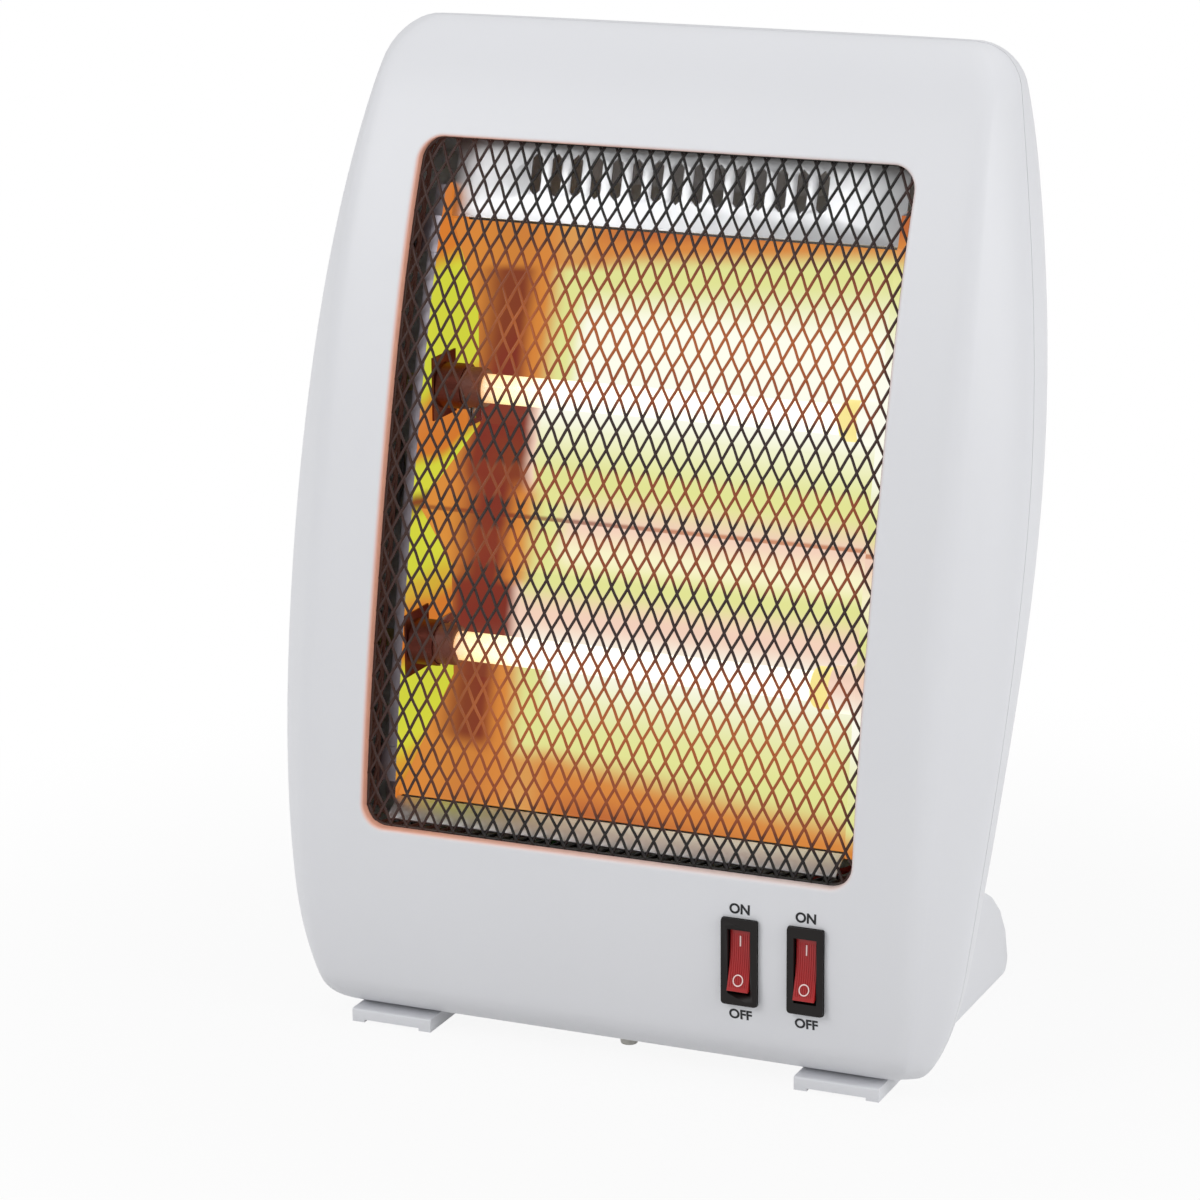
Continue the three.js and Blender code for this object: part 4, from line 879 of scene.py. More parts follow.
@dataclass(frozen=True)
class GuardWire:
    """Black-oxidised wire with the elements' orange light painted on it as emission."""

    name: str

    def material(self) -> bpy.types.Material:
        """Builds the wire's material."""
        material, g, shader = start_material(self.name)
        x, _, z = g.place()
        oxide = g.noise(700.0, 3.0)
        cold = g.blend(oxide, paint(20, 18, 19), paint(40, 36, 35))
        g.join(cold, shader.inputs["Base Color"])
        # Painted light: bands of the elements' light up the guard, darker between them, and a faint painted
        # brown glow beyond the lit span at both sides.
        dark, brown, ember = paint(38, 18, 16), paint(134, 62, 24), paint(164, 84, 32)
        unlit = (0.0, 0.0, 0.0)
        bands = [
            (84, unlit), (93, brown), (120, ember), (138, brown), (144, dark), (164, dark), (169, brown),
            (177, brown), (181, dark), (187, dark), (190, brown), (198, brown), (202, dark), (219, dark),
            (224, brown), (245, ember), (262, brown), (276, dark), (284, unlit),
        ]  # fmt: skip
        lit = g.bands(z, 75.0, 303.0, bands)
        left = g.span(x, -74.0, -44.0)
        right = g.span(x, 87.5, 80.0)
        share = g.sum("MULTIPLY", left, right)
        g.join(g.blend(share, paint(46, 23, 17), lit), shader.inputs["Emission Color"])
        shader.inputs["Emission Strength"].default_value = 1.0
        shader.inputs["Roughness"].default_value = 0.42
        shader.inputs["Metallic"].default_value = 0.35
        bump = g.add("ShaderNodeBump")
        bump.inputs["Strength"].default_value = 0.2
        bump.inputs["Distance"].default_value = 0.0001
        g.join(oxide, bump.inputs["Height"])
        g.join(bump.outputs["Normal"], shader.inputs["Normal"])
        return material


@dataclass(frozen=True)
class HousingPlastic:
    """The shells' grey-white plastic, with the elements' light painted on as a salmon tint at the window's
    edge.
    """

    name: str
    colour: Colour
    edge_glow: Colour

    def material(self) -> bpy.types.Material:
        """Builds the housing's material."""
        material, g, shader = start_material(self.name)
        group = g.add("ShaderNodeGroup", node_tree=Shared.grain)
        group.inputs["Colour"].default_value = (*self.colour, 1.0)
        group.inputs["Mottle"].default_value = 0.03
        group.inputs["Roughness"].default_value = 0.42
        # Painted light: the salmon tint fades in toward the window's edge on the face and rim, stronger on
        # the left.
        x, y, z = g.place()
        beside = g.sum("MAXIMUM", g.sum("SUBTRACT", g.sum("ABSOLUTE", x), 80.6), 0.0)
        above = g.sum("ABSOLUTE", g.sum("SUBTRACT", z, 188.75))
        above = g.sum("MAXIMUM", g.sum("SUBTRACT", above, 106.25), 0.0)
        square = g.sum("ADD", g.sum("MULTIPLY", beside, beside), g.sum("MULTIPLY", above, above))
        out = g.sum("SUBTRACT", g.sum("SQRT", square), 8.0)
        edge = g.span(out, 1.9, -0.1)
        edge = g.sum("MULTIPLY", edge, edge)
        depth = g.sum("SUBTRACT", y, g.sum("MULTIPLY", g.sum("SUBTRACT", z, 170.0), 0.218))
        edge = g.sum("MULTIPLY", edge, g.span(depth, -28.0, -32.0))
        lip = g.span(g.sum("MULTIPLY", x, -1.0), -70.0, 86.0)
        share = g.sum("MULTIPLY", edge, g.sum("ADD", g.sum("MULTIPLY", lip, 0.5), 0.25), clamp=True)
        g.join(g.blend(share, group.outputs["Colour"], self.edge_glow), shader.inputs["Base Color"])
        g.join(group.outputs["Roughness"], shader.inputs["Roughness"])
        bump = g.add("ShaderNodeBump")
        bump.inputs["Strength"].default_value = 0.02
        bump.inputs["Distance"].default_value = 0.0004
        g.join(group.outputs["Height"], bump.inputs["Height"])
        g.join(bump.outputs["Normal"], shader.inputs["Normal"])
        return material


class Finishes:
    """Every material, made once."""

    housing: bpy.types.Material
    guard: bpy.types.Material
    liner: bpy.types.Material
    sheet: bpy.types.Material
    end_plate: bpy.types.Material
    hem: bpy.types.Material
    apron: bpy.types.Material
    low_apron: bpy.types.Material
    clip: bpy.types.Material
    tube: bpy.types.Material
    coil: bpy.types.Material
    ceramic: bpy.types.Material
    terminal: bpy.types.Material
    steel: bpy.types.Material
    black: bpy.types.Material
    red: bpy.types.Material
    mark: bpy.types.Material
    lettering: bpy.types.Material
    plunger: bpy.types.Material
    nylon: bpy.types.Material
    leads: dict[str, bpy.types.Material]

    @classmethod
    def build(cls) -> None:
        """Makes every material."""
        # The housing's second colour is the painted glow at the window's edge.
        cls.housing = HousingPlastic("housing plastic", paint(226, 227, 231), paint(240, 150, 104)).material()
        cls.guard = GuardWire("guard wire").material()
        cls.liner = GlowPaintedSheet("lit reflector", paint(52, 50, 46)).material()
        cls.end_plate = GlowPaintedSheet("lit end plate", paint(60, 56, 46), plate=True).material()
        cls.hem = Metal("shaded hem", paint(168, 163, 172), roughness=0.42, streak=0.05, bump=0.01).material()
        cls.sheet = Metal("bright sheet", paint(190, 193, 198), roughness=0.32).material()
        apron, low_apron = paint(214, 215, 217), paint(222, 222, 224)
        cls.apron = Metal("bright apron", apron, roughness=0.36, streak=0.04, bump=0.0).material()
        cls.low_apron = Metal("lower apron", low_apron, roughness=0.5, streak=0.05, bump=0.01).material()
        cls.clip = Metal("heat-tinted spring steel", paint(108, 58, 48), roughness=0.38).material()
        cls.tube = GlowingTube("lit quartz").material()
        cls.coil = HotWire("resistance wire").material()
        cls.ceramic = Ceramic("steatite", paint(112, 62, 48)).material()
        cls.terminal = Metal("plated brass", paint(204, 190, 140), roughness=0.3).material()
        cls.steel = Metal("plated steel", paint(176, 180, 184), roughness=0.3).material()
        black = paint(20, 15, 14)
        cls.black = Moulding("black switch plastic", black, 0.45, 0.06, 0.015, 0.0, 0.28).material()
        cls.red = Moulding("red rocker plastic", paint(172, 28, 30), 0.36, 0.05, 0.015, 0.15).material()
        cls.mark = Moulding("white mark", paint(244, 214, 212), 0.5, 0.02).material()
        cls.lettering = Moulding("black lettering", paint(18, 19, 24), 0.6, 0.08).material()
        cls.plunger = Moulding("white nylon", paint(232, 230, 222), 0.4, 0.03).material()
        cls.nylon = Moulding("cream nylon", paint(226, 214, 180), 0.42, 0.04).material()
        cls.leads = {
            "black": Moulding("black lead", paint(34, 34, 36), 0.5, 0.05).material(),
            "red": Moulding("red lead", paint(170, 38, 32), 0.5, 0.05).material(),
            "grey": Moulding("grey lead", paint(140, 142, 146), 0.5, 0.05).material(),
            "green": Moulding("green lead", paint(64, 130, 60), 0.5, 0.05).material(),
        }


def finish(
    piece: bpy.types.Object, material: bpy.types.Material, body: str = BODY
) -> bpy.types.Object:
    """Gives a new piece its material and the body that it rides on.

    Args:
        piece: The new piece.
        material: Its finish.
        body: The body that carries it.

    Returns:
        The same piece.
    """
    piece.data.materials.clear()
    piece.data.materials.append(material)
    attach(piece, body)
    return piece


def refinish(node: str, material: bpy.types.Material) -> None:
    """Gives a carried-over CAD node its material.

    Args:
        node: The node's name.
        material: Its finish.
    """
    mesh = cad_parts[node].data
    mesh.materials.clear()
    mesh.materials.append(material)


@dataclass
class Refined:
    """A CAD node carried over with its edges rounded and its round faces shaded smooth."""

    node: str
    material: bpy.types.Material
    slot: str
    edge: float = 0.25
    segments: int = 2
    body: str = BODY

    def build(self) -> bpy.types.Object:
        """Copies the node, rounds its edges and puts it in the node's place."""
        piece = copy_of(self.node, f"{self.node}_made")
        if self.edge > 0:
            soften(piece, self.edge, self.segments, 38.0)
        smooth(piece, 32.0)
        finish(piece, self.material, self.body)
        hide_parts(self.node)
        return piece


# ------------------------------------------------------------------------------ housing
@dataclass(frozen=True)
class HousingForm:
    """The curves of the housing: the leaning face, the crease, the seam and the domed back."""

    width: float = 263.0
    height: float = 340.0
    bottom: float = 5.0
    belly: float = -69.5

    def level(self, z: float) -> float:
        """Height as a share of the half height, from -1 at the floor to 1 at the crest."""
        return (z - 170.0) / 170.0

    def rounding(self, distance: float, radius: float) -> float:
        """A quarter ellipse, from 0 at a radius from the end to 1 at the end."""
        u = min(max(1 - distance / radius, 0.0), 1.0)
        return 1 - math.sqrt(1 - u * u)

    def face(self, z: float) -> float:
        """Where the face stands at a height."""
        s = self.level(z)
        return self.belly + 17.2 + 0.218 * (z - 170) + 10.4 * s**2 + 15.5 * s**4

    def crease(self, z: float) -> float:
        """Half of the face's width, out to the crease."""
        return self.width / 2 - 18.9 - (5.9 if z > 170 else 9.35) * self.level(z) ** 4

    def seam_x(self, z: float) -> float:
        """Half of the housing's width, at the seam."""
        above = z > 178
        return self.width / 2 - (11.5 if above else 9.5) * ((z - 178) / (122 if above else 138)) ** 2

    def seam_y(self, z: float) -> float:
        """Where the seam between the shells runs."""
        loss = 8.2 * ((z - 200) / 100) ** 2 if z > 200 else 7 * ((200 - z) / 140) ** 1.5
        return self.face(z) + 27.6 - loss

    def back(self, z: float) -> float:
        """Where the back stands at a height."""
        rise = math.sin(math.pi / 2 * min(max((z - 10) / 310, 0.0), 1.0)) ** 2
        return self.belly + 60 + 64 * rise

    def ring(self, z: float, inset: float = 0.0) -> list[Point]:
        """The level outline of the housing at a height.

        Args:
            z: The height.
            inset: How far the outline is moved inwards.

        Returns:
            Points of (x, y), from the middle of the face round the right to the left.
        """
        top = self.height - z
        low = z - self.bottom
        seam = self.seam_y(z)
        crown = self.back(self.height) - self.seam_y(self.height) - 1
        front = self.face(z) + 10.7 * self.rounding(top, 24) + 14 * self.rounding(low, 14)
        back = self.back(z) - crown * self.rounding(top, 44) - 40 * self.rounding(low, 46)
        front = min(front + inset, seam - 0.3)
        back = max(back - inset, seam + 0.3)
        crease = self.crease(z) - 14 * self.rounding(top, 18) - 10 * self.rounding(low, 10) - inset
        side = self.seam_x(z) - 14 * self.rounding(top, 14) - 11 * self.rounding(low, 40) - inset - 0.1

        def flank(u: float) -> Point:
            """A point of the side, from the crease to the seam."""
            return (crease + (side - crease) * math.sin(u * math.pi / 2), front + (seam - front) * u)

        right = [(crease * i / 12, front) for i in range(1, 12)]
        start, bend, end = (crease - 5.5, front), (crease - 0.2, front), flank(0.13)
        right[-1] = (crease - 9.0, front)
        for i in range(7):
            u = i / 6
            right.append(
                tuple((1 - u) ** 2 * a + 2 * u * (1 - u) * b + u * u * c for a, b, c in zip(start, bend, end))
            )
        right += [flank(0.13 + 0.87 * i / 12) for i in range(1, 13)]
        power = 2 / (2.2 + min(max(low / 158, 0.0), 1.0))
        for i in range(1, 24):
            t = math.pi / 2 * (i / 24)
            right.append((side * math.cos(t) ** power, seam + (back - seam) * math.sin(t) ** power))
        left = [(-x, y) for x, y in reversed(right)]
        return [(0.0, front), *right, (0.0, back), *left]

    def stations(self) -> list[float]:
        """The heights of the rings, closer together at both ends."""
        low = [self.bottom + 30 * (1 - math.cos(math.pi / 2 * i / 18)) for i in range(19)]
        high = [self.height - 44 * (1 - math.cos(math.pi / 2 * i / 16)) for i in range(17)]
        step = (self.height - 44 - self.bottom - 30) / 54
        return low + [self.bottom + 30 + step * i for i in range(1, 54)] + high[::-1]

    def solid(self, name: str, inset: float = 0.0) -> bpy.types.Object:
        """The closed form of the housing, or the same form moved inwards.

        Args:
            name: The new object's name.
            inset: How far it is moved inwards.
        """
        shrink = (self.height - self.bottom - 2 * inset) / (self.height - self.bottom)
        rows = []
        for z in self.stations():
            height = self.bottom + inset + (z - self.bottom) * shrink
            rows.append([(x, y, height) for x, y in self.ring(z, inset)])
        return drape(name, rows, ring=True, capped=True)

    def beyond_seam(self, name: str, gap: float) -> bpy.types.Object:
        """The space behind the parting surface.

        Args:
            name: The new object's name.
            gap: How far behind the seam it starts.
        """
        heights = [-20.0] + [4.0 * i for i in range(1, 85)] + [360.0]
        edge = [(-200.0, self.seam_y(min(max(z, 4.0), 340.0)) + gap, z) for z in heights]
        return prism(name, [*edge, (-200.0, 200.0, 360.0), (-200.0, 200.0, -20.0)], (400.0, 0, 0))

    def back_at(self, x: float, z: float) -> float:
        """Where the outer back of the housing is, at a place of it."""
        ring = self.ring(z)
        rear = [p for p in ring[len(ring) // 2 :] if p[1] > self.seam_y(z)]
        return min(rear, key=lambda p: abs(abs(p[0]) - abs(x)))[1]


FORM = HousingForm()


@dataclass
class Housing:
    """The front and the rear shell of the heater."""

    wall: float = 2.4
    window_half: float = 88.6
    window_low: float = 74.5
    window_high: float = 303.0
    window_radius: float = 8.0
    switches: tuple[float, float] = (50.8, 74.1)
    pieces: list[bpy.types.Object] = field(default_factory=list)

    def window(self, outset: float) -> list[Point]:
        """The window's outline, moved outwards."""
        return rounded(
            self.window_half + outset,
            self.window_low - outset,
            self.window_high + outset,
            self.window_radius + outset,
        )

    def rim(self) -> bpy.types.Object:
        """The rounded edge of the window and the wall that it turns back into."""
        profile = [
            (2.6, -0.01), (1.9, -0.01), (1.3, 0.02), (0.85, 0.12), (0.5, 0.3), (0.22, 0.6), (0.05, 1.0),
            (0.0, 1.5), (0.0, 5.2), (0.25, 5.5), (1.6, 5.5), (1.9, 5.2), (2.0, 2.3), (2.6, 2.3),
        ]  # fmt: skip
        rows = []
        for outset, depth in [*profile, profile[0]]:
            rows.append([(x, FORM.face(z) + depth, z) for x, z in self.window(outset)])
        return drape("window_rim", rows, ring=True, capped=False)

    def box(self, x: Point, y: Point, z: Point) -> bpy.types.Object:
        """A block used for cutting, from its limits on each axis."""
        corners = [(x[0], y[0], z[0]), (x[1], y[0], z[0]), (x[1], y[0], z[1]), (x[0], y[0], z[1])]
        return prism("block", corners, (0, y[1] - y[0], 0))

    def obround(self, x: Point, z: Point, y: Point) -> bpy.types.Object:
        """A slot cutter with round ends, drawn out along Y."""
        if x[1] - x[0] > z[1] - z[0]:
            r = (z[1] - z[0]) / 2
            ends = [(x[1] - r, z[0] + r, -90), (x[0] + r, z[0] + r, 90)]
        else:
            r = (x[1] - x[0]) / 2
            ends = [(x[0] + r, z[1] - r, 0), (x[0] + r, z[0] + r, 180)]
        outline = []
        for cx, cz, start in ends:
            for i in range(9):
                a = math.radians(start + 22.5 * i)
                outline.append((cx + r * math.cos(a), y[0], cz + r * math.sin(a)))
        return prism("slot", outline, (0, y[1] - y[0], 0))

    def shell(self, name: str) -> bpy.types.Object:
        """The hollow wall of the whole housing."""
        whole = FORM.solid(name)
        cut(whole, FORM.solid("inside", self.wall))
        return whole

    def front(self) -> bpy.types.Object:
        """The front shell, with its window, its switch openings and its screw posts."""
        piece = self.shell("front_shell_made")
        cut(piece, FORM.beyond_seam("behind", 0.0))
        for x in SHELL_SCREWS_X:
            for z in SHELL_SCREWS_Z:
                face, seam = FORM.face(z), FORM.seam_y(z)
                side = [(0.0, face + 1.2), (4.6, face + 1.2), (4.6, seam - 1), (0.0, seam - 1)]
                post = turn("post", side, (x, 0, z), Axis.Y, 24)
                cut(post, FORM.solid("trim", 0.6), "INTERSECT")
                cut(piece, post, "UNION")
                side = [(0.0, face + 9), (1.8, face + 9), (1.8, seam + 2), (0.0, seam + 2)]
                hole = turn("hole", side, (x, 0, z), Axis.Y, 20)
                cut(piece, hole)
        opening = [(x, -100.0, z) for x, z in self.window(2.0)]
        cut(piece, prism("opening", opening, (0, 120.0, 0)))
        for x in self.switches:
            cut(piece, self.box((x - 5.6, x + 5.6), (-90.0, -50.0), (31.9, 59.1)))
        return piece

    def rear(self) -> bpy.types.Object:
        """The rear shell, with its vents, carrying grip and screw holes."""
        piece = self.shell("rear_shell_made")
        ahead = FORM.beyond_seam("behind", 0.35)
        cut(piece, ahead, "INTERSECT")
        cup = prism("cup", [(x, 0.0, z) for x, z in self.grip(2.4)], (0, 90.0, 0))
        trim = FORM.solid("trim")
        cut(cup, trim, "INTERSECT")
        deep = FORM.back_at(0, 286.0) - 24.4
        cut(cup, self.box((-80, 80), (-20, deep), (270, 330)))
        cut(piece, cup, "UNION")
        cut(piece, prism("grip", [(x, deep + 2.4, z) for x, z in self.grip(0.0)], (0, 90.0, 0)))
        slots = []
        for start, count, half in ((88.0, 4, 58.0), (226.0, 4, 70.0)):
            for i in range(count):
                z = start + 9.0 * i
                for side in (-1, 1):
                    x = tuple(sorted((side * 3.0, side * half)))
                    slots.append(self.obround(x, (z, z + 4.0), (FORM.seam_y(z) + 22, 90.0)))
        cut(piece, weld(slots, "slots"))
        for x in SHELL_SCREWS_X:
            for z in SHELL_SCREWS_Z:
                seat = FORM.seam_y(z) + 9
                post = turn("post", [(0, FORM.seam_y(z) + 0.4), (6.0, FORM.seam_y(z) + 0.4), (6.0, 80.0),
                            (0, 80.0)], (x, 0, z), Axis.Y, 28)  # fmt: skip
                cut(post, FORM.solid("trim"), "INTERSECT")
                cut(piece, post, "UNION")
                hole = turn("hole", [(0, seat - 12), (1.8, seat - 12), (1.8, seat), (3.6, seat), (3.6, 90.0),
                            (0, 90.0)], (x, 0, z), Axis.Y, 28)  # fmt: skip
                cut(piece, hole)
        gland_y = FORM.back_at(-52.0, 60.0)
        pad = turn("pad", [(0, gland_y - 9), (10, gland_y - 9), (10, gland_y + 1.3), (9.4, gland_y + 1.8),
                   (0, gland_y + 1.8)], (-52.0, 0, 60.0), Axis.Y, 36)  # fmt: skip
        inside = FORM.solid("inside", 2.4)
        cut(pad, inside)
        cut(piece, pad, "UNION")
        cut(piece, turn("hole", [(0, gland_y - 14), (6.3, gland_y - 14), (6.3, 90), (0, 90)],
                        (-52.0, 0, 60.0), Axis.Y, 32))  # fmt: skip
        cut(piece, turn("hole", [(0, -1), (3.3, -1), (3.3, 15), (0, 15)], (0, -44.5, 0), Axis.Z, 28))
        return piece

    def grip(self, outset: float) -> list[Point]:
        """The carrying grip's outline."""
        return rounded(46.0 + outset, 286.0 - outset, 310.0 + outset, 8.0 + outset)

    def build(self) -> None:
        """Makes both shells."""
        front = self.front()
        rim = self.rim()
        front = weld([front, rim], "front_shell_made")
        smooth(front, 34.0)
        finish(front, Finishes.housing)
        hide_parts("front_shell")
        rear = self.rear()
        smooth(rear, 34.0)
        finish(rear, Finishes.housing)
        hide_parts("rear_shell")
        self.pieces = [front, rear]
        log.info("housing: two shells")


# ------------------------------------------------------------------------------ guard
@dataclass
class Guard:
    """The tray of woven wire over the window, with its edges bent back."""

    pitch_x: float = 5.88
    pitch_z: float = 10.98
    radius: float = 0.52
    half: float = 88.2
    low: float = 74.9
    high: float = 302.6
    setback: float = 3.7
    fold: float = 7.0

    def bend(self, u: float, v: float) -> Place:
        """Takes a point of the flat net to its place on the tray.

        Args:
            u: Across the flat net, with 0 at the middle.
            v: Up the flat net, with 0 at the tray's lowest edge.
        """
        tall = self.high - self.low
        over_x = max(abs(u) - self.half, 0.0)
        x = math.copysign(min(abs(u), self.half), u)
        over_z = max(v - tall, -v, 0.0)
        z = self.low + min(max(v, 0.0), tall)
        return (x, FORM.face(z) + self.setback + min(over_x + over_z, self.fold), z)

    def strand(self, start: Point, rise: int) -> list[Place]:
        """One zig-zag wire that runs up the net, kinked at each crossing.

        Args:
            start: Where the wire starts on the flat net.
            rise: 1 where it leans right and -1 where it leans left.
        """
        tall = self.high - self.low
        u, v = start
        path: list[Place] = []
        step = 0.25
        limit_u = self.half + self.fold
        while v <= tall + self.fold and abs(u) <= limit_u + 0.01:
            x, y, z = self.bend(u, v)
            wave = 0.3 * math.cos(2 * math.pi * (v / self.pitch_z)) * rise
            path.append((x, y + wave, z))
            u += rise * self.pitch_x * step / 2 * 0.5
            v += self.pitch_z * step / 2 * 0.5
        return path

    def net(self) -> bpy.types.Object:
        """The net, from two sets of straight wires that cross."""
        tall = self.high - self.low
        limit_u = self.half + self.fold
        slope = self.pitch_x / self.pitch_z
        paths = []
        first = -self.fold
        run = (tall + 2 * self.fold) * slope
        count = int((2 * limit_u + run) / self.pitch_x) + 2
        for rise in (1, -1):
            for i in range(count):
                u = -limit_u - run + i * self.pitch_x if rise > 0 else limit_u + run - i * self.pitch_x
                v = first
                if rise * u < -limit_u:
                    v = first + (-limit_u - rise * u) / slope
                    u = -rise * limit_u
                if abs(u) > limit_u + 0.01 or v > tall:
                    continue
                path = self.strand((u, v), rise)
                if len(path) > 5:
                    paths.append(path)
        return wires("guard_net", paths, self.radius, 1)

    def build(self) -> None:
        """Makes the net and its wired edge."""
        net = self.net()
        edge = []
        for depth in (0.0, self.fold):
            outline = rounded(self.half, self.low, self.high, 7.6)
            loop = [(x, FORM.face(z) + self.setback + depth, z) for x, z in outline]
            edge.append([*loop, loop[0]])
        border = wires("guard_edge", edge, 0.5, 1)
        guard = weld([net, border], "guard_made")
        smooth(guard, 60.0)
        finish(guard, Finishes.guard)
        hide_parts("guard_mesh")
        log.info("guard: %d faces", len(guard.data.polygons))


# ------------------------------------------------------------------------------ inside
@dataclass
class Liner:
    """The folded reflector, its end plates, aprons and rivets."""

    def light_side(
        self, piece: bpy.types.Object, lit: bpy.types.Material, side: Callable[[Place, Vector], bool]
    ) -> None:
        """Gives the side of a sheet that faces the elements a finish with their light painted on.

        Args:
            piece: The sheet, which already has its bare finish.
            lit: The finish of the lit side.
            side: Says whether a face, by its middle in millimetres and its normal, is lit.
        """
        piece.data.materials.append(lit)
        for polygon in piece.data.polygons:
            middle = tuple(c / MM for c in polygon.center)
            if side(middle, polygon.normal):
                polygon.material_index = 1

    def build(self) -> None:
        """Makes the sheet-metal pieces."""
        reflector = Refined("reflector", Finishes.sheet, "bright_sheet", 0.5, 2).build()
        # The reflector's front faces take the elements' painted glow.
        self.light_side(reflector, Finishes.liner, lambda at, out: out.y < -0.04 and abs(out.x) < 0.5)
        for hand in Hand:
            plate = Refined(f"{hand.word}_end_plate", Finishes.sheet, "bright_sheet", 0.15, 1).build()
            # Painted light and shade: the end plates' inner faces take the painted glow, the left plate's
            # other faces take the darker shaded hem, and on the right the front-facing hem takes the painted
            # glow too.
            if hand is Hand.LEFT:
                self.light_side(plate, Finishes.end_plate, lambda at, out: out.x > 0.7 and at[0] > -82.2)
                plate.data.materials[0] = Finishes.hem
            else:
                self.light_side(
                    plate, Finishes.liner, lambda at, out: (out.x < -0.7 and at[0] < 82.2) or out.y < -0.5
                )
            for level in ("upper", "lower"):
                rivet = f"reflector_rivet_{level}_{hand.word}"
                Refined(rivet, Finishes.steel, "spring_steel", 0.3, 3).build()
        Refined("top_apron", Finishes.apron, "bright_sheet", 0.15, 2).build()
        Refined("bottom_apron", Finishes.low_apron, "bright_sheet", 0.15, 2).build()
        log.info("liner: reflector, end plates, aprons and rivets")


@dataclass
class Element:
    """One quartz element with its coil, caps, clips and terminals."""

    level: str
    y: float
    z: float
    half: float = 72.5
    turns: int = 48

    def tube(self) -> None:
        """The quartz tube, with fire-polished ends."""
        profile = [
            (4.0, -self.half), (4.3, -self.half - 0.0), (4.8, -self.half + 0.2), (5.0, -self.half + 0.7),
            (5.0, 0.0), (5.0, self.half - 0.7), (4.8, self.half - 0.2), (4.3, self.half), (4.0, self.half),
            (4.0, 0.0), (4.0, -self.half),
        ]  # fmt: skip
        piece = turn(f"quartz_tube_{self.level}_made", profile, (0, self.y, self.z), Axis.X, 48)
        smooth(piece, 50.0)
        finish(piece, Finishes.tube)
        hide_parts(f"quartz_tube_{self.level}")

    def coil(self) -> None:
        """The wound resistance wire with its straight tails."""
        path = [(-69.5, self.y, self.z), (-62.5, self.y, self.z)]
        count = self.turns * 14
        for i in range(count + 1):
            u = i / count
            grown = min(1.0, u * self.turns, (1 - u) * self.turns)
            a = 2 * math.pi * u * self.turns
            r = 2.9 * math.sin(grown * math.pi / 2)
            path.append((-60 + 120 * u, self.y + r * math.cos(a), self.z + r * math.sin(a)))
        path += [(62.5, self.y, self.z), (69.5, self.y, self.z)]
        piece = wires(f"heating_coil_{self.level}_made", [path], 0.45, 2)
        smooth(piece, 60.0)
        finish(piece, Finishes.coil)
        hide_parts(f"heating_coil_{self.level}")

    def cap(self, hand: Hand) -> None:
        """The ceramic cap on one end of the tube."""
        s = hand.value
        profile = [
            (5.3, 65.0), (6.0, 65.0), (6.4, 65.1), (6.8, 65.5), (7.0, 66.1), (7.0, 76.2), (6.8, 76.8),
            (6.3, 77.0), (1.8, 77.0), (1.8, 72.8), (5.3, 72.8), (5.3, 65.0),
        ]  # fmt: skip
        name = f"ceramic_cap_{self.level}_{hand.word}"
        piece = turn(f"{name}_made", [(r, s * a) for r, a in profile], (0, self.y, self.z), Axis.X, 40)
        smooth(piece, 40.0)
        finish(piece, Finishes.ceramic)
        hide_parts(name)

    def build(self) -> None:
        """Makes the whole element."""
        self.tube()
        self.coil()
        for hand in Hand:
            self.cap(hand)
            # The right-hand clips take the reflector's painted glow; the left ones keep the dark spring-steel
            # finish.
            tint = Finishes.clip if hand is Hand.LEFT else Finishes.liner
            Refined(f"tube_clip_{self.level}_{hand.word}", tint, "spring_steel", 0.15, 2).build()
            blade = f"element_terminal_{self.level}_{hand.word}"
            Refined(blade, Finishes.terminal, "terminal_brass", 0.12, 2).build()
        log.info("element %s", self.level)


# ------------------------------------------------------------------------------ switches
class Words:
    """Flat lettering that lies on the face of the housing."""

    @staticmethod
    def place(name: str, text: str, x: float, z: float, size: float) -> bpy.types.Object:
        """Sets a word on the face, centred on a place.

        Args:
            name: The new object's name.
            text: The word.
            x: Its middle, across.
            z: Its middle, up.
            size: Height of its capitals.
        """
        deselect()
        bpy.ops.object.text_add(location=(0, 0, 0))
        piece = bpy.context.object
        piece.name = name
        piece.data.body = text
        piece.data.align_x = "CENTER"
        piece.data.align_y = "CENTER"
        piece.data.size = size / 0.72 * MM
        piece.data.offset = 0.15 * MM
        piece.data.resolution_u = 6
        activate(piece)
        bpy.ops.object.convert(target="MESH")
        piece = bpy.context.object
        low = min(v.co.y for v in piece.data.vertices)
        high = max(v.co.y for v in piece.data.vertices)
        for vertex in piece.data.vertices:
            across = x + vertex.co.x / MM
            up = z + (vertex.co.y - (low + high) / 2) / MM
            vertex.co = (across * MM, (FORM.face(up) - 0.08) * MM, up * MM)
        activate(piece)
        bpy.ops.object.mode_set(mode="EDIT")
        bpy.ops.mesh.select_all(action="SELECT")
        bpy.ops.mesh.normals_make_consistent(inside=False)
        bpy.ops.object.mode_set(mode="OBJECT")
        if piece.data.polygons[0].normal.y > 0:
            piece.data.flip_normals()
        return piece


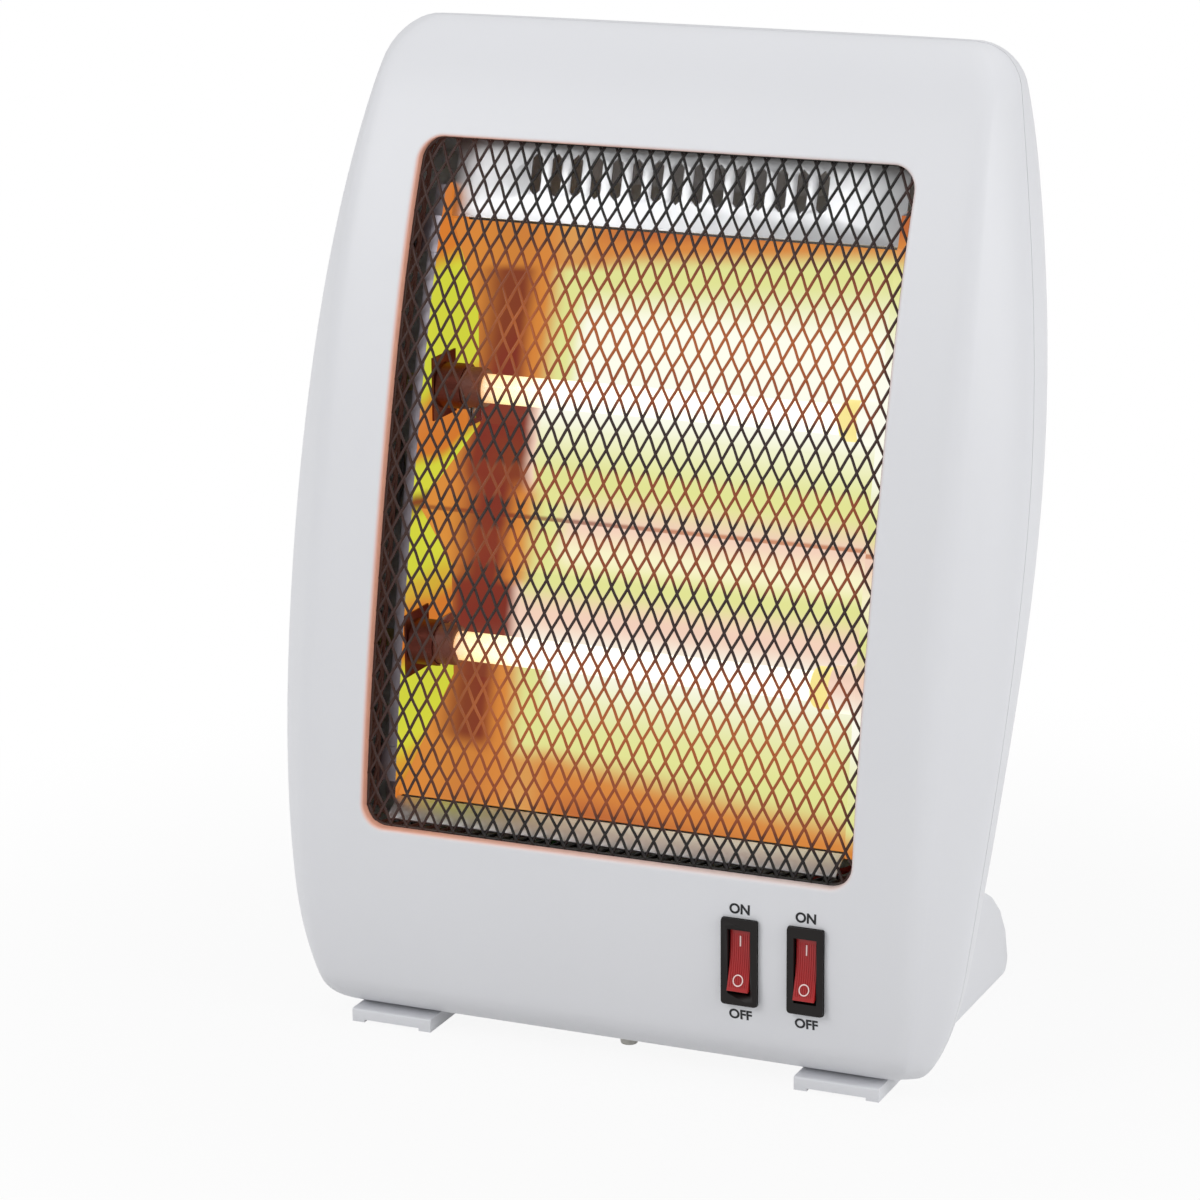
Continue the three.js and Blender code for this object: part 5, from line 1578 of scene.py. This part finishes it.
@dataclass
class SwitchUnit:
    """A rocker switch with its bezel, ribbed paddle, marks and blades."""

    hand: Hand
    x: float
    z: float = 45.5
    pivot_y: float = -67.804
    front_y: float = -70.8
    tilt: float = 10.0

    @property
    def body(self) -> str:
        """The body that the paddle rides on."""
        return f"{self.hand.word}_rocker"

    def bezel(self) -> None:
        """The switch body, its bezel and the well that the paddle stands in."""
        outer = rounded_block(self.x, self.z, 12.8, 30.2, 0.7)
        step = rounded_block(self.x, self.z, 11.8, 29.2, 0.5)
        throat = rounded_block(self.x, self.z, 8.6, 23.6, 0.5)
        profile = [
            (outer, self.front_y + 1.25), (outer, self.front_y + 0.5), (step, self.front_y),
            (throat, self.front_y), (rounded_block(self.x, self.z, 8.0, 22.8, 0.4), self.front_y + 0.5),
        ]  # fmt: skip
        rows = [[(x, y, z) for x, z in outline] for outline, y in profile]
        frame_rim = drape("bezel_rim", rows, ring=True, capped=False)
        core = copy_of(f"switch_body_{self.hand.word}", "switch_core")
        activate(core)
        piece = weld([core, frame_rim], f"switch_body_{self.hand.word}_made")
        smooth(piece, 30.0)
        finish(piece, Finishes.black)
        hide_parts(f"switch_body_{self.hand.word}")

    def paddle(self) -> None:
        """The red paddle with moulded ribs, and its white marks."""
        name = f"rocker_{self.hand.word}"
        piece = copy_of(name, f"{name}_made")
        soften(piece, 0.35, 3, 30.0)
        smooth(piece, 35.0)
        finish(piece, Finishes.red, self.body)
        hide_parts(name)
        half = 10.5
        tilt = math.radians(self.tilt)
        reach = self.pivot_y + 72.5
        crown = (reach - (half - 0.2) * math.sin(tilt)) / math.cos(tilt)

        def surface(v: float, lift: float) -> tuple[float, float]:
            """The paddle's face at v up from the pivot, as (y, z) with the tilt."""
            u = (v + half - 0.2) / (2 * half - 0.4)
            ahead = -crown + 2 * 1.1 * 2 * u * (1 - u) - lift
            return (
                self.pivot_y + ahead * math.cos(tilt) + v * math.sin(tilt),
                self.z - ahead * math.sin(tilt) + v * math.cos(tilt),
            )

        ribs = []
        for i in range(9):
            x = self.x + (i - 4) * 0.76
            rows = []
            for j in range(25):
                v = -9.4 + 18.8 * j / 24
                lift = 0.22 if 0 < j < 24 else 0.0
                y0, z0 = surface(v, -0.1)
                y1, z1 = surface(v, lift)
                rows.append([(x - 0.22, y0, z0), (x - 0.12, y1, z1), (x + 0.12, y1, z1), (x + 0.22, y0, z0)])
            ribs.append(drape("rib", rows, ring=True, capped=True))
        rib = weld(ribs, f"{name}_ribs")
        smooth(rib, 50.0)
        finish(rib, Finishes.red, self.body)
        bar = []
        for j in range(5):
            v = 4.9 + 3.6 * j / 4
            y, z = surface(v, 0.27)
            bar.append([(self.x - 0.24, y, z), (self.x + 0.24, y, z)])
        mark = drape(f"{name}_on_mark", bar, ring=False, capped=False)
        loop = []
        for radius in (1.6, 2.02):
            row = []
            for k in range(36):
                a = 2 * math.pi * k / 36
                y, z = surface(-6.6 + radius * math.sin(a), 0.27)
                row.append((self.x + radius * 0.92 * math.cos(a), y, z))
            loop.append(row)
        ring = drape(f"{name}_off_mark", loop, ring=True, capped=False)
        for flat in (mark, ring):
            if flat.data.polygons[0].normal.y > 0:
                flat.data.flip_normals()
            finish(flat, Finishes.mark, self.body)

    def build(self) -> None:
        """Makes the switch and its two words."""
        self.bezel()
        self.paddle()
        for end in ("feed", "load"):
            blade = f"switch_terminal_{self.hand.word}_{end}"
            Refined(blade, Finishes.terminal, "terminal_brass", 0.12).build()
        for text, z in (("ON", 63.65), ("OFF", 26.4)):
            word = Words.place(f"{self.hand.word}_{text.lower()}_word", text, self.x - 0.3, z, 3.35)
            finish(word, Finishes.lettering)
        log.info("switch %s", self.hand.word)


def rounded_block(x: float, z: float, wide: float, tall: float, radius: float) -> list[Point]:
    """The outline of a rounded rectangle round a place.

    Args:
        x: Its middle, across.
        z: Its middle, up.
        wide: Its width.
        tall: Its height.
        radius: Its corner radius.
    """
    points: list[Point] = []
    for sx, sz, start in ((1, -1, -90), (1, 1, 0), (-1, 1, 90), (-1, -1, 180)):
        for i in range(6):
            a = math.radians(start + 18 * i)
            points.append(
                (
                    x + sx * (wide / 2 - radius) + radius * math.cos(a),
                    z + sz * (tall / 2 - radius) + radius * math.sin(a),
                )
            )
    return points


# ------------------------------------------------------------------------------ base
@dataclass
class Base:
    """The feet, their screws and the tip-over switch."""

    def build(self) -> None:
        """Makes the pieces under the housing."""
        for hand in Hand:
            Refined(f"{hand.word}_foot", Finishes.housing, "housing", 0.7, 3).build()
            Refined(f"foot_screw_{hand.word}", Finishes.steel, "spring_steel", 0.2, 2).build()
        Refined("tip_switch_body", Finishes.black, "black_plastic", 0.4, 2).build()
        Refined("tip_switch_plunger", Finishes.plunger, "plunger_white", 0.3, 2, "plunger").build()
        refinish("tip_switch_spring", Finishes.steel)
        log.info("base: feet and tip-over switch")


@dataclass
class Wiring:
    """The cord gland, the terminal block, the leads and the shell screws."""

    colours: dict[str, str] = field(
        default_factory=lambda: {
            "lead_supply": "black",
            "lead_tip_switch": "black",
            "lead_switch_link": "black",
            "lead_lower_element": "red",
            "lead_upper_element": "red",
            "lead_neutral_lower": "grey",
            "lead_neutral_upper": "grey",
            "lead_earth": "green",
        }
    )

    def build(self) -> None:
        """Makes the electrical pieces."""
        Refined("cord_gland", Finishes.black, "black_plastic", 0.3, 3).build()
        Refined("terminal_block", Finishes.nylon, "block_nylon", 0.3, 2).build()
        for node, colour in self.colours.items():
            piece = copy_of(node, f"{node}_made")
            smooth(piece, 70.0)
            finish(piece, Finishes.leads[colour])
            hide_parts(node)
        for level in ("lower", "upper"):
            for hand in Hand:
                Refined(f"shell_screw_{level}_{hand.word}", Finishes.steel, "spring_steel", 0.2, 2).build()
        log.info("wiring: gland, block, leads and screws")


# ------------------------------------------------------------------------------ studio
@dataclass
class Studio:
    """The floor, the backdrop, the lights and the camera."""

    azimuth: float = 0.41419
    down: float = 0.27128
    roll: float = -0.008035
    lens: float = 4178.98 * 36.0 / 1200.0
    eye: Place = (531.06, -1274.40, 530.23)

    def camera(self) -> None:
        """Places the camera at the photograph's viewing angle."""
        a, e, r = self.azimuth, self.down, self.roll
        ahead = Vector((-math.sin(a) * math.cos(e), math.cos(a) * math.cos(e), -math.sin(e)))
        right = Vector((math.cos(a), math.sin(a), 0.0))
        up = right.cross(ahead)
        right_rolled = math.cos(r) * right + math.sin(r) * up
        up_rolled = -math.sin(r) * right + math.cos(r) * up
        data = bpy.data.cameras.new("camera")
        data.lens = self.lens
        data.sensor_width = 36.0
        data.sensor_fit = "HORIZONTAL"
        data.clip_start = 0.05
        camera = bpy.data.objects.new("camera", data)
        bpy.context.scene.collection.objects.link(camera)
        basis = Matrix((right_rolled, up_rolled, -ahead)).transposed().to_4x4()
        basis.translation = Vector(self.eye) * MM
        camera.matrix_world = basis
        bpy.context.scene.camera = camera

    def light(self, name: str, place: Place, aim: Place, size: float, power: float) -> None:
        """Hangs a square soft lamp.

        Args:
            name: The lamp's name.
            place: Where it hangs, in metres.
            aim: What it points at, in metres.
            size: Its side, in metres.
            power: Its power in watts.
        """
        data = bpy.data.lights.new(name, "AREA")
        data.shape = "SQUARE"
        data.size = size
        data.energy = power
        lamp = bpy.data.objects.new(name, data)
        bpy.context.scene.collection.objects.link(lamp)
        lamp.location = place
        lamp.rotation_euler = (Vector(aim) - Vector(place)).to_track_quat("-Z", "Y").to_euler()

    def floor(self) -> None:
        """Lays the pale floor."""
        deselect()
        bpy.ops.mesh.primitive_plane_add(size=6.0)
        floor = bpy.context.object
        floor.name = "floor"
        material, g, shader = start_material("pale floor")
        g.join(g.blend(g.noise(3.0), (0.66, 0.66, 0.66), (0.68, 0.68, 0.68)), shader.inputs["Base Color"])
        shader.inputs["Roughness"].default_value = 0.85
        white = g.add("ShaderNodeEmission")
        white.inputs["Color"].default_value = (1.0, 1.0, 1.0, 1.0)
        white.inputs["Strength"].default_value = 1.0
        path = g.add("ShaderNodeLightPath")
        seen = g.sum("MAXIMUM", path.outputs["Is Camera Ray"], path.outputs["Is Glossy Ray"])
        seen = g.sum("MAXIMUM", seen, path.outputs["Is Transmission Ray"])
        x, y, _ = g.place()
        far = g.sum("SQRT", g.sum("ADD", g.sum("MULTIPLY", x, x), g.sum("MULTIPLY", y, y)))
        # Near the heater the floor keeps more of its shading than far from it.
        fade = g.sum("MULTIPLY", g.span(far, 150.0, 420.0), 1.0 - FLOOR_NEAR)
        share = g.sum("MULTIPLY", seen, g.sum("ADD", fade, FLOOR_NEAR))
        mix = g.add("ShaderNodeMixShader")
        g.join(share, mix.inputs[0])
        g.join(shader.outputs[0], mix.inputs[1])
        g.join(white.outputs[0], mix.inputs[2])
        end = next(node for node in g.tree.nodes if node.bl_idname == "ShaderNodeOutputMaterial")
        g.join(mix.outputs[0], end.inputs["Surface"])
        floor.data.materials.append(material)

    def world(self) -> None:
        """Sets the plain soft surroundings."""
        world = bpy.data.worlds.new("studio")
        world.use_nodes = True
        bpy.context.scene.world = world
        tree = world.node_tree
        tree.nodes.clear()
        g = Graph(tree)
        end = g.add("ShaderNodeOutputWorld")
        soft = g.add("ShaderNodeBackground")
        soft.inputs["Color"].default_value = (1.0, 1.0, 1.0, 1.0)
        soft.inputs["Strength"].default_value = SURROUND
        white = g.add("ShaderNodeBackground")
        white.inputs["Color"].default_value = (1.0, 1.0, 1.0, 1.0)
        white.inputs["Strength"].default_value = 1.0
        path = g.add("ShaderNodeLightPath")
        mix = g.add("ShaderNodeMixShader")
        seen = g.sum("ADD", path.outputs["Is Camera Ray"], path.outputs["Is Transmission Ray"], clamp=True)
        g.join(seen, mix.inputs[0])
        g.join(soft.outputs[0], mix.inputs[1])
        g.join(white.outputs[0], mix.inputs[2])
        g.join(mix.outputs[0], end.inputs["Surface"])

    def build(self) -> None:
        """Sets up the studio."""
        bpy.context.scene.view_settings.view_transform = "Standard"
        self.camera()
        self.floor()
        self.world()
        self.light("key", (-0.9, -1.3, 1.2), (0.0, 0.0, 0.17), 1.0, 11.0)
        self.light("right", (1.7, -0.2, 0.8), (0.0, 0.0, 0.17), 1.0, 11.0)
        self.light("top", (0.0, 0.4, 1.7), (0.0, 0.0, 0.2), 1.2, 2.8)
        log.info("studio")


def main() -> None:
    """Builds the heater in its studio."""
    logging.basicConfig(level=logging.INFO, format="%(name)s: %(message)s")
    Studio().build()
    Shared.build()
    Finishes.build()
    Housing().build()
    Guard().build()
    Liner().build()
    Element("lower", -37.84, 133.0).build()
    Element("upper", -12.88, 217.7).build()
    SwitchUnit(Hand.LEFT, 50.8).build()
    SwitchUnit(Hand.RIGHT, 74.1).build()
    Base().build()
    Wiring().build()


if __name__ == "__main__":
    main()
